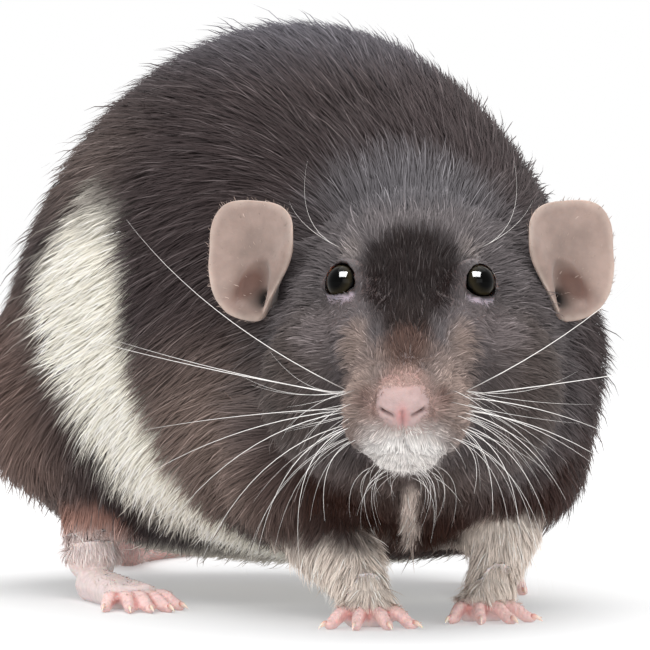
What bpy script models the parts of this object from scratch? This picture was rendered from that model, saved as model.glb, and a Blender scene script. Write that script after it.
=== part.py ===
"""Life-size model of an adult pet rat, hunched on its four feet with the head turned to its right.

The rat faces -Y, +X is its left side, and Z is up. The flesh is built whole: lofts through cross
sections of trunk and head, with rounded masses of muscle and fat added, all fused under one soft skin.
Thin cuts then part it into muzzle, head, neck, torso, upper arms and thighs. Ears, eyes, lower limbs,
feet and tail are pieces of their own that meet it across the same gap. The surface is that of the
coat, and the soles and the tail lie on small flats at Z = 0.
"""

import math

import bmesh
import bpy
from mathutils import Matrix, Vector

MM = 0.001
GAP = 0.3

# Driving sizes, in millimetres
BACK_HEIGHT = 100.0
TRUNK_WIDTH = 88.0
TRUNK_LENGTH = 142.0
EYES_AT = Vector((-23.4, -75.9, 53.2))
HEAD_TURN = math.radians(-29.5)
EYE_SPACING = 19.6
EYE_RADIUS = 3.2
EAR_HEIGHT = 19.0
EAR_WIDTH = 16.5
EAR_THICKNESS = 0.9
TAIL_ROOT_RADIUS = 5.2
TAIL_TIP_RADIUS = 1.3
WHISKER_ROOT_RADIUS = 0.30
WHISKER_TIP_RADIUS = 0.17
CLAW_LENGTH = 2.2

HEAD = Matrix.Translation(EYES_AT) @ Matrix.Rotation(HEAD_TURN, 4, "Z")
BODY = Matrix.Identity(4)

# Cross sections of the trunk from the chest to the rump, as shares of half the length, half the
# width and the height of the back: (along, sideways, underside, top, half width)
TRUNK_SECTIONS = (
    (-0.98, -0.10, 0.30, 0.45, 0.10),
    (-0.92, -0.08, 0.19, 0.59, 0.32),
    (-0.82, -0.05, 0.13, 0.68, 0.50),
    (-0.68, -0.03, 0.10, 0.765, 0.66),
    (-0.51, -0.02, 0.08, 0.85, 0.80),
    (-0.34, -0.02, 0.068, 0.92, 0.90),
    (-0.14, 0.0, 0.058, 0.98, 0.97),
    (0.07, 0.0, 0.053, 1.005, 1.0),
    (0.28, 0.0, 0.053, 0.993, 1.0),
    (0.50, 0.0, 0.06, 0.943, 0.97),
    (0.68, 0.0, 0.075, 0.85, 0.88),
    (0.82, 0.0, 0.105, 0.74, 0.75),
    (0.93, 0.0, 0.15, 0.59, 0.54),
    (0.985, 0.0, 0.22, 0.47, 0.30),
    (1.01, 0.0, 0.29, 0.38, 0.10),
)
# Cross sections of the head and neck, in millimetres from the point midway between the eyes:
# (along, sideways, underside, top, half width)
HEAD_SECTIONS = (
    (-23.5, 0.0, -21.5, -16.0, 2.2),
    (-21.5, 0.0, -24.5, -13.8, 5.4),
    (-18.0, 0.0, -27.0, -11.0, 7.6),
    (-14.0, 0.0, -28.6, -8.4, 8.8),
    (-10.0, 0.0, -29.6, -5.6, 9.6),
    (-6.0, 0.0, -30.4, -2.6, 10.8),
    (-2.0, 0.0, -31.2, 0.6, 13.0),
    (3.0, 0.0, -32.5, 4.6, 16.4),
    (8.0, 0.2, -34.0, 8.2, 19.4),
    (13.0, 0.5, -36.0, 11.0, 21.6),
    (18.0, 0.8, -38.0, 13.0, 23.2),
    (24.0, 1.2, -40.0, 14.8, 25.2),
    (31.0, 1.8, -41.0, 16.6, 27.0),
    (38.0, 2.6, -40.0, 18.2, 27.4),
    (45.0, 3.6, -36.0, 18.0, 25.0),
    (50.0, 4.4, -26.0, 11.0, 14.0),
)

# Rounded masses added to the trunk on both sides: (centre), (radii), nose-down pitch in degrees
TRUNK_MASSES = {
    "shoulder": ((17.0, -39.5, 42.0), (14.5, 19.0, 20.0), 0),
    "thigh": ((28.5, 34.0, 33.4), (20.5, 31.0, 19.2), 15),
    "tail_head": ((3.0, 64.0, 26.0), (7.0, 10.0, 9.0), 0),
}
# The upper arms, which lie differently as the head is turned to the right
UPPER_ARM_MASSES = {
    "left": ((12.8, -47.6, 26.0), (10.0, 10.5, 12.5), 0),
    "right": ((-27.0, -44.0, 25.0), (11.5, 12.0, 15.0), 0),
}
# Rounded masses on both sides of the head, and those in the middle of the nose and mouth
HEAD_MASSES = {
    "whisker_pad": ((4.8, -15.5, -19.0), (4.9, 8.0, 6.0), 28),
    "cheek": ((12.0, 8.0, -16.0), (11.5, 15.0, 14.0), 15),
    "cheekbone": ((7.8, -0.5, -8.5), (5.4, 9.0, 6.5), 25),
    "eye_socket": ((8.4, 3.0, -0.8), (5.2, 8.0, 5.4), 25),
    "ear_root": ((17.0, 22.0, 1.0), (4.8, 4.5, 6.5), 0),
    "lid": ((EYE_SPACING / 2 - 0.4, -0.4, 0.1), (4.1, 4.1, 4.1), 0),
}
NOSE_MASSES = {
    "nose": ((0.0, -22.9, -18.4), (4.1, 2.7, 3.7), 15),
    "upper_lip": ((0.0, -19.0, -22.6), (5.6, 4.4, 3.6), 10),
    "chin": ((0.0, -14.5, -26.6), (4.8, 6.0, 3.0), 10),
}

# Where the flesh is parted: frame, point, nose-down pitch, turn about Z, half side of the cut
PARTING_PLANES = {
    "muzzle": (HEAD, (0.0, -6.0, -14.0), 14, 0, 27),
    "head": (HEAD, (0.0, 23.0, -2.0), -10, 0, 46),
    "neck": (HEAD, (6.0, 38.0, -6.0), -12, 14, 62),
}
# Rounded cuts round the roots of the limbs: centre, radii
PARTING_SHELLS = {
    "thigh_left": ((43.0, 31.0, 33.0), (24.0, 33.0, 30.0)),
    "thigh_right": ((-43.0, 31.0, 33.0), (24.0, 33.0, 30.0)),
    "upper_arm_left": ((32.0, -42.0, 34.0), (14.0, 16.0, 21.0)),
    "upper_arm_right": ((-34.0, -34.0, 34.0), (14.0, 16.0, 21.0)),
}
# A point inside each parted node
FLESH_NODES = {
    "muzzle": HEAD @ Vector((0.0, -15.0, -18.0)),
    "head": HEAD @ Vector((0.0, 10.0, -8.0)),
    "neck": HEAD @ Vector((3.0, 31.0, -10.0)),
    "torso": Vector((0.0, 5.0, 50.0)),
    "thigh_left": Vector((34.0, 31.0, 33.0)),
    "thigh_right": Vector((-34.0, 31.0, 33.0)),
    "upper_arm_left": Vector((29.0, -40.0, 36.0)),
    "upper_arm_right": Vector((-31.0, -34.0, 36.0)),
}

# Each lower limb from its root down to the wrist or the heel, the radii there, the middle of the
# paw's pads, and the heading of the paw in degrees from straight ahead towards the rat's left. A hind
# foot also has how far its toes spread. The left one is hidden behind the left foreleg in the photo.
FORELIMBS = {
    "left": (((8.8, -45.4, 26.0), (6.6, -53.7, 18.0), (2.4, -59.5, 11.5), (-1.4, -62.5, 5.8)),
             (9.5, 7.8, 5.7, 3.9), (-4.6, -65.5, 2.0), -12),
    "right": (((-22.8, -40.0, 25.0), (-23.4, -47.0, 15.5), (-23.9, -56.9, 9.6), (-24.6, -63.9, 5.4)),
              (9.5, 8.4, 5.9, 3.7), (-26.4, -67.9, 2.0), -24),
}
HINDLIMBS = {
    "left": (((35.0, 14.0, 27.0), (40.0, 14.6, 16.0), (43.0, 13.4, 6.5)),
             (9.0, 6.2, 4.3), (31.2, -8.6, 1.9), -28, 0.45),
    "right": (((-34.0, 13.0, 27.0), (-36.8, 12.6, 16.0), (-38.4, 9.0, 6.5)),
              (9.0, 6.4, 4.4), (-42.0, -15.0, 1.9), -9, 1.0),
}
# Digits: heading in degrees from the paw's own, and length
FORE_DIGITS = ((-40, 6.6), (-13, 7.8), (13, 7.8), (40, 6.6))
HIND_DIGITS = ((-34, 7.0), (-14, 10.5), (0, 11.0), (14, 10.5), (34, 7.0))

TAIL_PATH = (
    (0.0, 58.0, 27.0), (0.5, 68.0, 21.0), (2.0, 78.0, 12.0), (5.5, 88.0, 5.4), (12.0, 99.0, 2.5),
    (21.0, 109.0, 1.0), (33.0, 118.0, 1.0), (47.0, 124.0, 1.0), (62.0, 124.0, 1.0), (75.0, 116.0, 1.0),
    (84.0, 103.0, 1.0), (87.0, 88.0, 1.0), (84.0, 74.0, 1.0), (77.0, 62.0, 1.0),
)
TAIL_LENGTHS = {
    "tail_base": (0.0, 0.27),
    "tail_middle": (0.27, 0.52),
    "tail_end": (0.52, 0.77),
    "tail_tip": (0.77, 1.0),
}

# Ends of the main whiskers from the point midway between the eyes, top row to bottom row
WHISKER_ENDS = {
    "right": ((-43.0, -4.0, 10.0), (-57.0, 0.0, -6.0), (-45.0, -8.0, -8.0), (-40.0, -12.0, -22.0),
              (-43.0, -8.0, -31.0), (-37.0, -14.0, -38.0), (-31.0, -18.0, -42.0), (-22.0, -20.0, -40.0),
              (-15.5, -22.0, -42.0), (-12.0, -24.0, -35.0)),
    "left": ((43.0, -4.0, 10.0), (52.0, 0.0, -10.0), (34.0, -10.0, -24.0), (28.0, -14.0, -27.0),
             (36.0, -8.0, -31.0), (24.0, -18.0, -32.0), (21.0, -18.0, -36.0), (17.0, -20.0, -39.0),
             (13.0, -22.0, -34.0), (10.0, -24.0, -31.0)),
}

COAT_GREY = (0.105, 0.095, 0.10, 1)
COAT_CREAM = (0.62, 0.56, 0.49, 1)
SKIN_PINK = (0.72, 0.45, 0.40, 1)
EAR_PINK = (0.60, 0.42, 0.37, 1)
EYE_BLACK = (0.006, 0.005, 0.005, 1)


def start_scene():
    """Clears the scene and makes the two collections, for the parts and for the cutters."""
    for old in list(bpy.data.objects):
        bpy.data.objects.remove(old)
    parts = bpy.data.collections.new("pet_rat")
    cutters = bpy.data.collections.new("cutters")
    for collection in (parts, cutters):
        bpy.context.scene.collection.children.link(collection)
    return parts, cutters


def material(name, colour, roughness):
    """A Principled material."""
    made = bpy.data.materials.new(name)
    made.use_nodes = True
    shader = made.node_tree.nodes["Principled BSDF"]
    shader.inputs["Base Color"].default_value = colour
    shader.inputs["Roughness"].default_value = roughness
    shader.inputs["Metallic"].default_value = 0.0
    return made


def object_from(name, source):
    """A new object among the cutters, from a mesh or a bmesh."""
    mesh = source
    if isinstance(source, bmesh.types.BMesh):
        mesh = bpy.data.meshes.new(name)
        source.to_mesh(mesh)
        source.free()
    made = bpy.data.objects.new(name, mesh)
    CUTTERS.objects.link(made)
    return made


def settle(obj):
    """Replaces the object's mesh by what its modifiers make of it."""
    bpy.context.view_layer.update()
    evaluated = obj.evaluated_get(bpy.context.evaluated_depsgraph_get())
    mesh = bpy.data.meshes.new_from_object(evaluated)
    obj.modifiers.clear()
    obj.data = mesh
    return obj


def join(name, pieces):
    """One object that holds the meshes of all the pieces, which are removed."""
    held = bmesh.new()
    for piece in pieces:
        held.from_mesh(piece.data)
        bpy.data.objects.remove(piece)
    return object_from(name, held)


def ellipsoid(centre, radii, pitch=0.0, frame=BODY, fineness=3):
    """An ellipsoid in millimetres in a frame, turned nose-down by pitch degrees about its X."""
    made = bmesh.new()
    turn = Matrix.Rotation(math.radians(pitch), 4, "X")
    place = Matrix.Scale(MM, 4) @ frame @ Matrix.Translation(centre) @ turn @ Matrix.Diagonal((*radii, 1))
    bmesh.ops.create_icosphere(made, subdivisions=fineness, radius=1, matrix=place)
    return object_from("mass", made)


def masses(table, frame, paired=True):
    """Ellipsoids from a table of named masses, on both sides where they come in pairs."""
    made = []
    for centre, radii, pitch in table.values():
        made.append(ellipsoid(centre, radii, pitch, frame))
        if paired:
            made.append(ellipsoid((-centre[0], *centre[1:]), radii, pitch, frame))
    return made


def smooth_rows(rows, steps):
    """Rows of numbers with more of them set between on a Catmull-Rom curve."""
    made = []
    for k in range(len(rows) - 1):
        before, a = rows[max(k - 1, 0)], rows[k]
        b, after = rows[k + 1], rows[min(k + 2, len(rows) - 1)]
        for j in range(steps):
            t = j / steps
            weights = (-t ** 3 + 2 * t ** 2 - t, 3 * t ** 3 - 5 * t ** 2 + 2,
                       -3 * t ** 3 + 4 * t ** 2 + t, t ** 3 - t ** 2)
            made.append([sum(w * v for w, v in zip(weights, values)) / 2
                         for values in zip(before, a, b, after)])
    made.append(list(rows[-1]))
    return made


def along_path(points, start, end, count):
    """Points at even steps over a share of the smooth path through some points."""
    dense = [Vector(row) for row in smooth_rows(points, 24)]
    lengths = [0.0]
    for a, b in zip(dense, dense[1:]):
        lengths.append(lengths[-1] + (b - a).length)
    made, j = [], 0
    for k in range(count):
        want = lengths[-1] * (start + (end - start) * k / (count - 1))
        while j < len(dense) - 2 and lengths[j + 1] < want:
            j += 1
        made.append(dense[j].lerp(dense[j + 1], (want - lengths[j]) / (lengths[j + 1] - lengths[j])))
    return made, lengths[-1]


def stitch(made, rings):
    """Closes a row of rings of vertices into one skin with flat ends."""
    for a, b in zip(rings, rings[1:]):
        for k in range(len(a)):
            made.faces.new((a[k], b[k], b[k - 1], a[k - 1]))
    made.faces.new(rings[0])
    made.faces.new(reversed(rings[-1]))
    bmesh.ops.recalc_face_normals(made, faces=made.faces)


def loft(sections, frame, widest, top_power, under_power, sides=32):
    """A closed loft through upright cross sections; widest is the share of the height up to the
    widest level, and a higher power makes that half of the section squarer."""
    made = bmesh.new()
    rings = []
    for y, x, under, top, half_width in smooth_rows(sections, 4):
        middle = under + (top - under) * widest
        ring = []
        for k in range(sides):
            c, s = math.cos(math.tau * k / sides), math.sin(math.tau * k / sides)
            power, rise = (top_power, top - middle) if s >= 0 else (under_power, middle - under)
            across = math.copysign(abs(c) ** (2 / power), c) * half_width
            up = math.copysign(abs(s) ** (2 / power), s) * rise
            ring.append(made.verts.new(frame @ Vector((x + across, y, middle + up)) * MM))
        rings.append(ring)
    stitch(made, rings)
    return object_from("loft", made)


def tube(points, radii, frame=BODY, sides=6):
    """A tapering tube through points in millimetres, with closed ends."""
    made = bmesh.new()
    points = [frame @ Vector(point) for point in points]
    rings, side = [], None
    for k, point in enumerate(points):
        along = (points[min(k + 1, len(points) - 1)] - points[max(k - 1, 0)]).normalized()
        side = along.orthogonal() if side is None else side
        side = (side - along * side.dot(along)).normalized()
        up = along.cross(side)
        ring = []
        for j in range(sides):
            turn = math.tau * j / sides
            outwards = side * math.cos(turn) + up * math.sin(turn)
            ring.append(made.verts.new((point + outwards * radii[k]) * MM))
        rings.append(ring)
    stitch(made, rings)
    return object_from("tube", made)


def limb(points, radii):
    """A soft round limb along a path, as overlapping balls for the skin to run over."""
    made, last = [], None
    for x, y, z, radius in smooth_rows([(*p, r) for p, r in zip(points, radii)], 8):
        at = Vector((x, y, z))
        if last is None or (at - last).length > radius * 0.3:
            made.append(ellipsoid(at, (radius,) * 3, fineness=2))
            last = at
    return made


def fuse(name, pieces, voxel, rounds):
    """One closed soft skin over overlapping pieces."""
    body = join(name, pieces)
    skin = body.modifiers.new("skin", "REMESH")
    skin.mode = "VOXEL"
    skin.voxel_size = voxel * MM
    soften = body.modifiers.new("soften", "SMOOTH")
    soften.factor = 0.5
    soften.iterations = rounds
    return settle(body)


def thin_out(obj, triangles, inside=None):
    """Collapses the mesh to so many triangles where inside holds, or everywhere."""
    zone = obj.vertex_groups.new(name="zone")
    chosen = [v.index for v in obj.data.vertices if inside is None or inside(v.co / MM)]
    zone.add(chosen, 1.0, "REPLACE")
    held = set(chosen)
    total = sum(len(face.vertices) - 2 for face in obj.data.polygons)
    within = sum(len(face.vertices) - 2 for face in obj.data.polygons if held.issuperset(face.vertices))
    thin = obj.modifiers.new("thin", "DECIMATE")
    thin.vertex_group = zone.name
    thin.ratio = (total - within + triangles) / total
    settle(obj)
    obj.vertex_groups.clear()
    return obj


def combine(obj, others, operation):
    """Applies one Boolean of the others to the object, and removes the others."""
    group = bpy.data.collections.new("operands")
    for other in others:
        group.objects.link(other)
    change = obj.modifiers.new(operation.lower(), "BOOLEAN")
    change.operation = operation
    change.operand_type = "COLLECTION"
    change.collection = group
    change.solver = "EXACT"
    settle(obj)
    for other in others:
        bpy.data.objects.remove(other)
    bpy.data.collections.remove(group)
    return obj


def islands(obj):
    """The object's mesh, and its connected parts as lists of face numbers, the largest first."""
    whole = bmesh.new()
    whole.from_mesh(obj.data)
    bmesh.ops.remove_doubles(whole, verts=whole.verts, dist=0.000002)
    whole.faces.ensure_lookup_table()
    seen = [False] * len(whole.faces)
    groups = []
    for start in range(len(seen)):
        if seen[start]:
            continue
        seen[start] = True
        group, reached = [], [start]
        while reached:
            group.append(reached.pop())
            for side in whole.faces[group[-1]].edges:
                for other in side.link_faces:
                    if not seen[other.index]:
                        seen[other.index] = True
                        reached.append(other.index)
        groups.append(group)
    groups.sort(key=len, reverse=True)
    return whole, groups


def only(whole, group, name):
    """A new object with one connected part of a mesh."""
    island = whole.copy()
    island.faces.ensure_lookup_table()
    kept = set(group)
    away = [face for face in island.faces if face.index not in kept]
    bmesh.ops.delete(island, geom=away, context="FACES")
    return object_from(name, island)


def keep_largest(obj):
    """Leaves only the largest closed surface of a node."""
    whole, groups = islands(obj)
    largest = only(whole, groups[0], obj.name)
    whole.free()
    obj.data = largest.data
    bpy.data.objects.remove(largest)
    return obj


def swollen(obj, by):
    """A copy of an object grown outwards by so many millimetres."""
    made = object_from("swollen", obj.data.copy())
    grow = made.modifiers.new("grow", "DISPLACE")
    grow.mid_level = 0
    grow.strength = by * MM
    return settle(made)


def carve(obj, flesh):
    """Cuts the object back from the flesh so that they meet across the gap."""
    combine(obj, [swollen(flesh, GAP * 1.2)], "DIFFERENCE")
    return keep_largest(obj)


def flat_soles(obj):
    """Cuts off what lies below the floor, which leaves small flats at one level."""
    below = bmesh.new()
    size = 600 * MM
    place = Matrix.Translation((0, 0, -size / 2)) @ Matrix.Scale(size, 4)
    bmesh.ops.create_cube(below, size=1, matrix=place)
    combine(obj, [object_from("floor", below)], "DIFFERENCE")
    return keep_largest(obj)


def parting_slab(frame, point, pitch, turn, half_side):
    """A thin square plate across the flesh, as thick as the gap between two nodes."""
    plate = bmesh.new()
    tilt = Matrix.Rotation(math.radians(turn), 4, "Z") @ Matrix.Rotation(math.radians(pitch), 4, "X")
    size = Matrix.Diagonal((2 * half_side, GAP, 2 * half_side, 1))
    place = Matrix.Scale(MM, 4) @ frame @ Matrix.Translation(point) @ tilt @ size
    bmesh.ops.create_cube(plate, size=1, matrix=place)
    return object_from("slab", plate)


def parting_shell(centre, radii):
    """A thin hollow ellipsoid round the root of a limb."""
    shell = ellipsoid(centre, radii, fineness=3)
    wall = shell.modifiers.new("wall", "SOLIDIFY")
    wall.thickness = GAP * MM
    wall.offset = 0
    return settle(shell)


def part(body, cuts, inside):
    """Parts a body by thin cutters, and names what falls out by the nearest of some points."""
    for cut in cuts:
        combine(body, [cut], "DIFFERENCE")
    whole, groups = islands(body)
    bpy.data.objects.remove(body)
    made = {}
    for group in groups[:len(inside)]:
        faces = [whole.faces[k] for k in group]
        area = sum(face.calc_area() for face in faces)
        centre = sum((face.calc_center_median() * face.calc_area() for face in faces), Vector()) / area / MM
        name = min((n for n in inside if n not in made), key=lambda n: (Vector(inside[n]) - centre).length)
        made[name] = only(whole, group, name)
    whole.free()
    return made


def whole_flesh():
    """The trunk, neck and head as one soft body, finer towards the nose."""
    half = (TRUNK_LENGTH / 2, TRUNK_WIDTH / 2, BACK_HEIGHT, BACK_HEIGHT, TRUNK_WIDTH / 2)
    sections = [[value * unit for value, unit in zip(row, half)] for row in TRUNK_SECTIONS]
    trunk = [loft(sections, BODY, 0.36, 2.05, 2.7)] + masses(TRUNK_MASSES, BODY)
    trunk += masses(UPPER_ARM_MASSES, BODY, paired=False)
    trunk = fuse("trunk", trunk, 1.6, 32)
    head = [loft(HEAD_SECTIONS, HEAD, 0.42, 2.25, 2.1)]
    head += masses(HEAD_MASSES, HEAD) + masses(NOSE_MASSES, HEAD, paired=False)
    head = fuse("head", head, 0.7, 5)
    flesh = fuse("flesh", [trunk, head], 0.8, 4)
    to_head = HEAD.inverted()
    thin_out(flesh, 2300, lambda at: (to_head @ at).y > 20)
    thin_out(flesh, 1300, lambda at: -7 < (to_head @ at).y <= 22)
    return thin_out(flesh, 1000, lambda at: (to_head @ at).y <= -5)


def part_flesh(flesh):
    """Parts the whole flesh round the roots of the limbs, and then at muzzle, head and neck."""
    flesh = object_from("flesh", flesh.data.copy())
    shells = [parting_shell(*shell) for shell in PARTING_SHELLS.values()]
    nodes = part(flesh, shells, {name: FLESH_NODES[name] for name in [*PARTING_SHELLS, "torso"]})
    planes = [parting_slab(*plane) for plane in PARTING_PLANES.values()]
    trunk = nodes.pop("torso")
    return nodes | part(trunk, planes, {name: FLESH_NODES[name] for name in [*PARTING_PLANES, "torso"]})


def eye_frame(side):
    """The frame of an eye, whose Y runs out through the pupil."""
    centre = Vector((side * EYE_SPACING / 2, -0.5, 0.1))
    outwards = Vector((side * math.sin(math.radians(35)), -math.cos(math.radians(35)), 0.25))
    return HEAD @ Matrix.Translation(centre) @ outwards.to_track_quat("Y", "Z").to_matrix().to_4x4()


def open_lids(head):
    """Cuts the sockets for the eyeballs, and the almond between the lids."""
    for side in (1, -1):
        frame = eye_frame(side)
        socket = ellipsoid((0, 0, 0), (EYE_RADIUS + GAP,) * 3, frame=frame)
        almond = ellipsoid((0, 3.0, 0), (3.1, 3.4, 2.8), frame=frame)
        combine(head, [socket], "DIFFERENCE")
        combine(head, [almond], "DIFFERENCE")
    return keep_largest(head)


def dish_point(r, turn, side, lift):
    """A point of the ear's dish: r from middle to rim, turn round it, lift through its thickness."""
    x, z = r * math.cos(turn), r * math.sin(turn)
    root = math.exp(-((x + 0.38) ** 2 + (z + 0.42) ** 2) / 0.13)
    hollow = 3.0 * r ** 2 - 1.6 * root
    fold = 1.4 * max(0.0, x) ** 3 + 0.8 * max(0.0, z) ** 3
    thickness = EAR_THICKNESS * (1 - 0.55 * r ** 4) + 4.5 * root
    return Vector((side * x * EAR_WIDTH / 2 * (1 + 0.10 * z), -hollow + fold + lift * thickness,
                   z * EAR_HEIGHT / 2))


def ear(side, flesh):
    """An ear: a rounded dish that opens forwards and outwards, hollow towards its root."""
    made = bmesh.new()
    turns = [math.tau * k / 20 for k in range(20)]
    rings = []
    for r, lift in [(r, 0) for r in (0.14, 0.38, 0.62, 0.84)] + [(1.0, 0.2), (1.0, 0.8)] \
            + [(r, 1) for r in (0.84, 0.62, 0.38, 0.14)]:
        rings.append([made.verts.new(dish_point(r, turn, side, lift)) for turn in turns])
    stitch(made, rings)
    tilt = Matrix.Rotation(math.radians(34 * side), 4, "Z") @ Matrix.Rotation(math.radians(14 * side), 4, "Y")
    tilt = tilt @ Matrix.Rotation(math.radians(-8), 4, "X")
    made.transform(Matrix.Scale(MM, 4) @ HEAD @ Matrix.Translation((side * 24.8, 20.5, 3.8)) @ tilt)
    return carve(object_from("ear", made), flesh)


def whiskers(side_name, side):
    """The main whiskers of one side, from rows of roots on the whisker pad, bowed upwards."""
    made = []
    for k, end in enumerate(WHISKER_ENDS[side_name]):
        row, column = divmod(k, 3)
        root = Vector((side * (8.6 - 0.9 * row), -12.5 - 2.6 * column - 0.6 * row, -16.6 - 1.9 * row))
        inner = root - Vector((side * 1.6, 0, 0))
        end = Vector(end)
        reach = end - root
        lift = 0.4 * reach.z if reach.z > 0 else 0.1 * reach.z
        bow = root + Vector((side * 0.5, -0.12, 0.0)) * reach.length + Vector((0, 0, lift))
        points = [inner]
        for j in range(6):
            t = j / 5
            points.append(root * (1 - t) ** 2 + bow * 2 * t * (1 - t) + end * t ** 2)
        taper = [WHISKER_ROOT_RADIUS + (WHISKER_TIP_RADIUS - WHISKER_ROOT_RADIUS) * t / 6 for t in range(7)]
        made.append(tube(points, taper, HEAD, sides=4))
    return made


def finish_muzzle(muzzle):
    """Cuts nostrils, philtrum and mouth line into the muzzle, and sets the whiskers on it."""
    cuts = []
    for side in (1, -1):
        cuts.append(ellipsoid((side * 2.0, -25.2, -17.6), (0.75, 1.3, 0.9), 0, HEAD, fineness=2))
        mouth = [(0.0, -22.6, -23.2), (side * 2.4, -21.9, -24.4), (side * 4.6, -19.4, -25.2),
                 (side * 6.6, -15.6, -25.4)]
        outer = [Vector(point) + Vector((side * 0.5, -0.5, 0)) for point in mouth]
        cuts.append(tube(outer, (0.5, 0.55, 0.5, 0.35), HEAD))
    cuts.append(tube([(0.0, -25.0, -19.4), (0.0, -24.4, -21.2), (0.0, -23.0, -23.2)], (0.45, 0.5, 0.5), HEAD))
    for cut in cuts:
        combine(muzzle, [cut], "DIFFERENCE")
    keep_largest(muzzle)
    for side_name, side in (("right", -1), ("left", 1)):
        for hair in whiskers(side_name, side):
            combine(muzzle, [hair], "UNION")
    return keep_largest(muzzle)


def digit(start, heading, length, radius):
    """A toe that arches over its knuckle to the floor, with its claw."""
    ahead = Vector((math.sin(heading), -math.cos(heading), 0))
    start = Vector(start)
    points = [start, start + ahead * length * 0.45 + Vector((0, 0, radius * 0.55)),
              start + ahead * length * 0.8 + Vector((0, 0, -0.2)), start + ahead * length]
    points[2].z, points[3].z = radius * 0.72, radius * 0.55
    made = limb(points, (radius * 1.15, radius, radius * 0.92, radius * 0.8))
    tip = points[3] + ahead * radius * 0.3 + Vector((0, 0, radius * 0.25))
    claw = [tip, tip + ahead * CLAW_LENGTH * 0.55 + Vector((0, 0, 0.1)),
            tip + ahead * CLAW_LENGTH + Vector((0, 0, -0.5))]
    return made + [tube(claw, (0.55, 0.42, 0.2))]


def forelimb(path, radii, pads, heading):
    """A forearm and paw in one skin."""
    heading = math.radians(heading)
    across = Vector((math.cos(heading), math.sin(heading), 0))
    pads = Vector(pads)
    pieces = limb([*path, pads], [*radii, 2.5])
    for offset in (-1.9, 0.0, 1.9):
        pieces.append(ellipsoid(pads + across * offset, (2.3, 2.5, 2.5), fineness=2))
    for turn, length in FORE_DIGITS:
        start = pads + across * turn * 0.062 + Vector((0, 0, -0.4))
        pieces += digit(start, heading + math.radians(turn), length, 1.2)
    return fuse("forelimb", pieces, 0.42, 3)


def hindlimb(path, radii, pads, heading, spread):
    """A shank and hind foot in one skin."""
    heading = math.radians(heading)
    across = Vector((math.cos(heading), math.sin(heading), 0))
    pads = Vector(pads)
    heel = Vector(path[-1])
    pieces = limb(path, radii)
    for offset in (-2.2, 0.0, 2.2):
        sole = heel + (pads - heel) * 0.1 + across * offset * 0.3
        sole.z = 2.6
        instep = pads.lerp(sole, 0.5) + across * offset * 0.35
        pieces += limb([sole, instep, pads + across * offset], (3.1, 2.7, 2.4))
    for turn, length in HIND_DIGITS:
        start = pads + across * turn * 0.10 + Vector((0, 0, -0.5))
        pieces += digit(start, heading + math.radians(turn * 0.75 * spread), length, 1.3)
    return fuse("hindlimb", pieces, 0.48, 3)


def lower_limbs(flesh):
    """Forearms with paws, and shanks with feet, parted at wrist and ankle."""
    made = {}
    for side, (path, radii, pads, heading) in FORELIMBS.items():
        skin = thin_out(forelimb(path, radii, pads, heading), 800)
        wrist = Vector(path[-1]).lerp(Vector(pads), 0.1)
        cut = parting_slab(BODY, wrist, 38, heading, 9)
        made |= part(skin, [cut], {f"forearm_{side}": Vector(path[1]), f"forepaw_{side}": Vector(pads)})
    for side, (path, radii, pads, heading, spread) in HINDLIMBS.items():
        skin = thin_out(hindlimb(path, radii, pads, heading, spread), 760)
        ankle = Vector(path[-1]) + Vector((0, 0, 2.5))
        cut = parting_slab(BODY, ankle, 78, heading, 11)
        made |= part(skin, [cut], {f"shank_{side}": Vector(path[1]), f"hind_foot_{side}": Vector(pads)})
    for name, node in made.items():
        carve(node, flesh)
        if name.startswith(("forepaw", "hind_foot")):
            flat_soles(node)
    return made


def tail(flesh):
    """The tail in four lengths, lying on the floor in a curve to the rat's left."""
    made = {}
    gap = GAP / along_path(TAIL_PATH, 0, 1, 2)[1]
    for name, (start, end) in TAIL_LENGTHS.items():
        count = 12
        first, last = start + (gap if start > 0 else 0), end - (gap if end < 1 else 0)
        points = along_path(TAIL_PATH, first, last, count)[0]
        radii = []
        for k, point in enumerate(points):
            share = first + (last - first) * k / (count - 1)
            radii.append(TAIL_ROOT_RADIUS + (TAIL_TIP_RADIUS - TAIL_ROOT_RADIUS) * share ** 0.8)
            point.z = max(point.z, radii[-1] - 0.22)
        made[name] = flat_soles(tube(points, radii, sides=9))
    carve(made["tail_base"], flesh)
    return made


def main():
    """Builds every node and colours it."""
    flesh = whole_flesh()
    nodes = part_flesh(flesh)
    open_lids(nodes["head"])
    for side_name, side in (("left", 1), ("right", -1)):
        nodes[f"ear_{side_name}"] = ear(side, flesh)
        nodes[f"eye_{side_name}"] = ellipsoid((0, 0, 0), (EYE_RADIUS,) * 3, frame=eye_frame(side))
    nodes |= lower_limbs(flesh)
    nodes |= tail(flesh)
    finish_muzzle(nodes["muzzle"])
    bpy.data.objects.remove(flesh)

    coat = material("coat_grey", COAT_GREY, 0.9)
    cream = material("coat_cream", COAT_CREAM, 0.9)
    pink = material("skin_pink", SKIN_PINK, 0.6)
    ear_skin = material("ear_skin", EAR_PINK, 0.65)
    eye_black = material("eye_black", EYE_BLACK, 0.08)
    colours = {"ear": ear_skin, "eye": eye_black, "forearm": cream, "forepaw": pink, "hind": pink,
               "shank": cream, "tail": pink}
    corners = [node.data.vertices[k].co for node in nodes.values() for k in range(len(node.data.vertices))]
    low = [min(corner[axis] for corner in corners) for axis in range(3)]
    high = [max(corner[axis] for corner in corners) for axis in range(3)]
    to_middle = Matrix.Translation((-(low[0] + high[0]) / 2, -(low[1] + high[1]) / 2, -low[2]))
    for name, node in nodes.items():
        node.name = name
        node.data.transform(to_middle)
        node.data.materials.clear()
        node.data.materials.append(colours.get(name.split("_")[0], coat))
        CUTTERS.objects.unlink(node)
        PARTS.objects.link(node)
    return to_middle.translation


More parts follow.
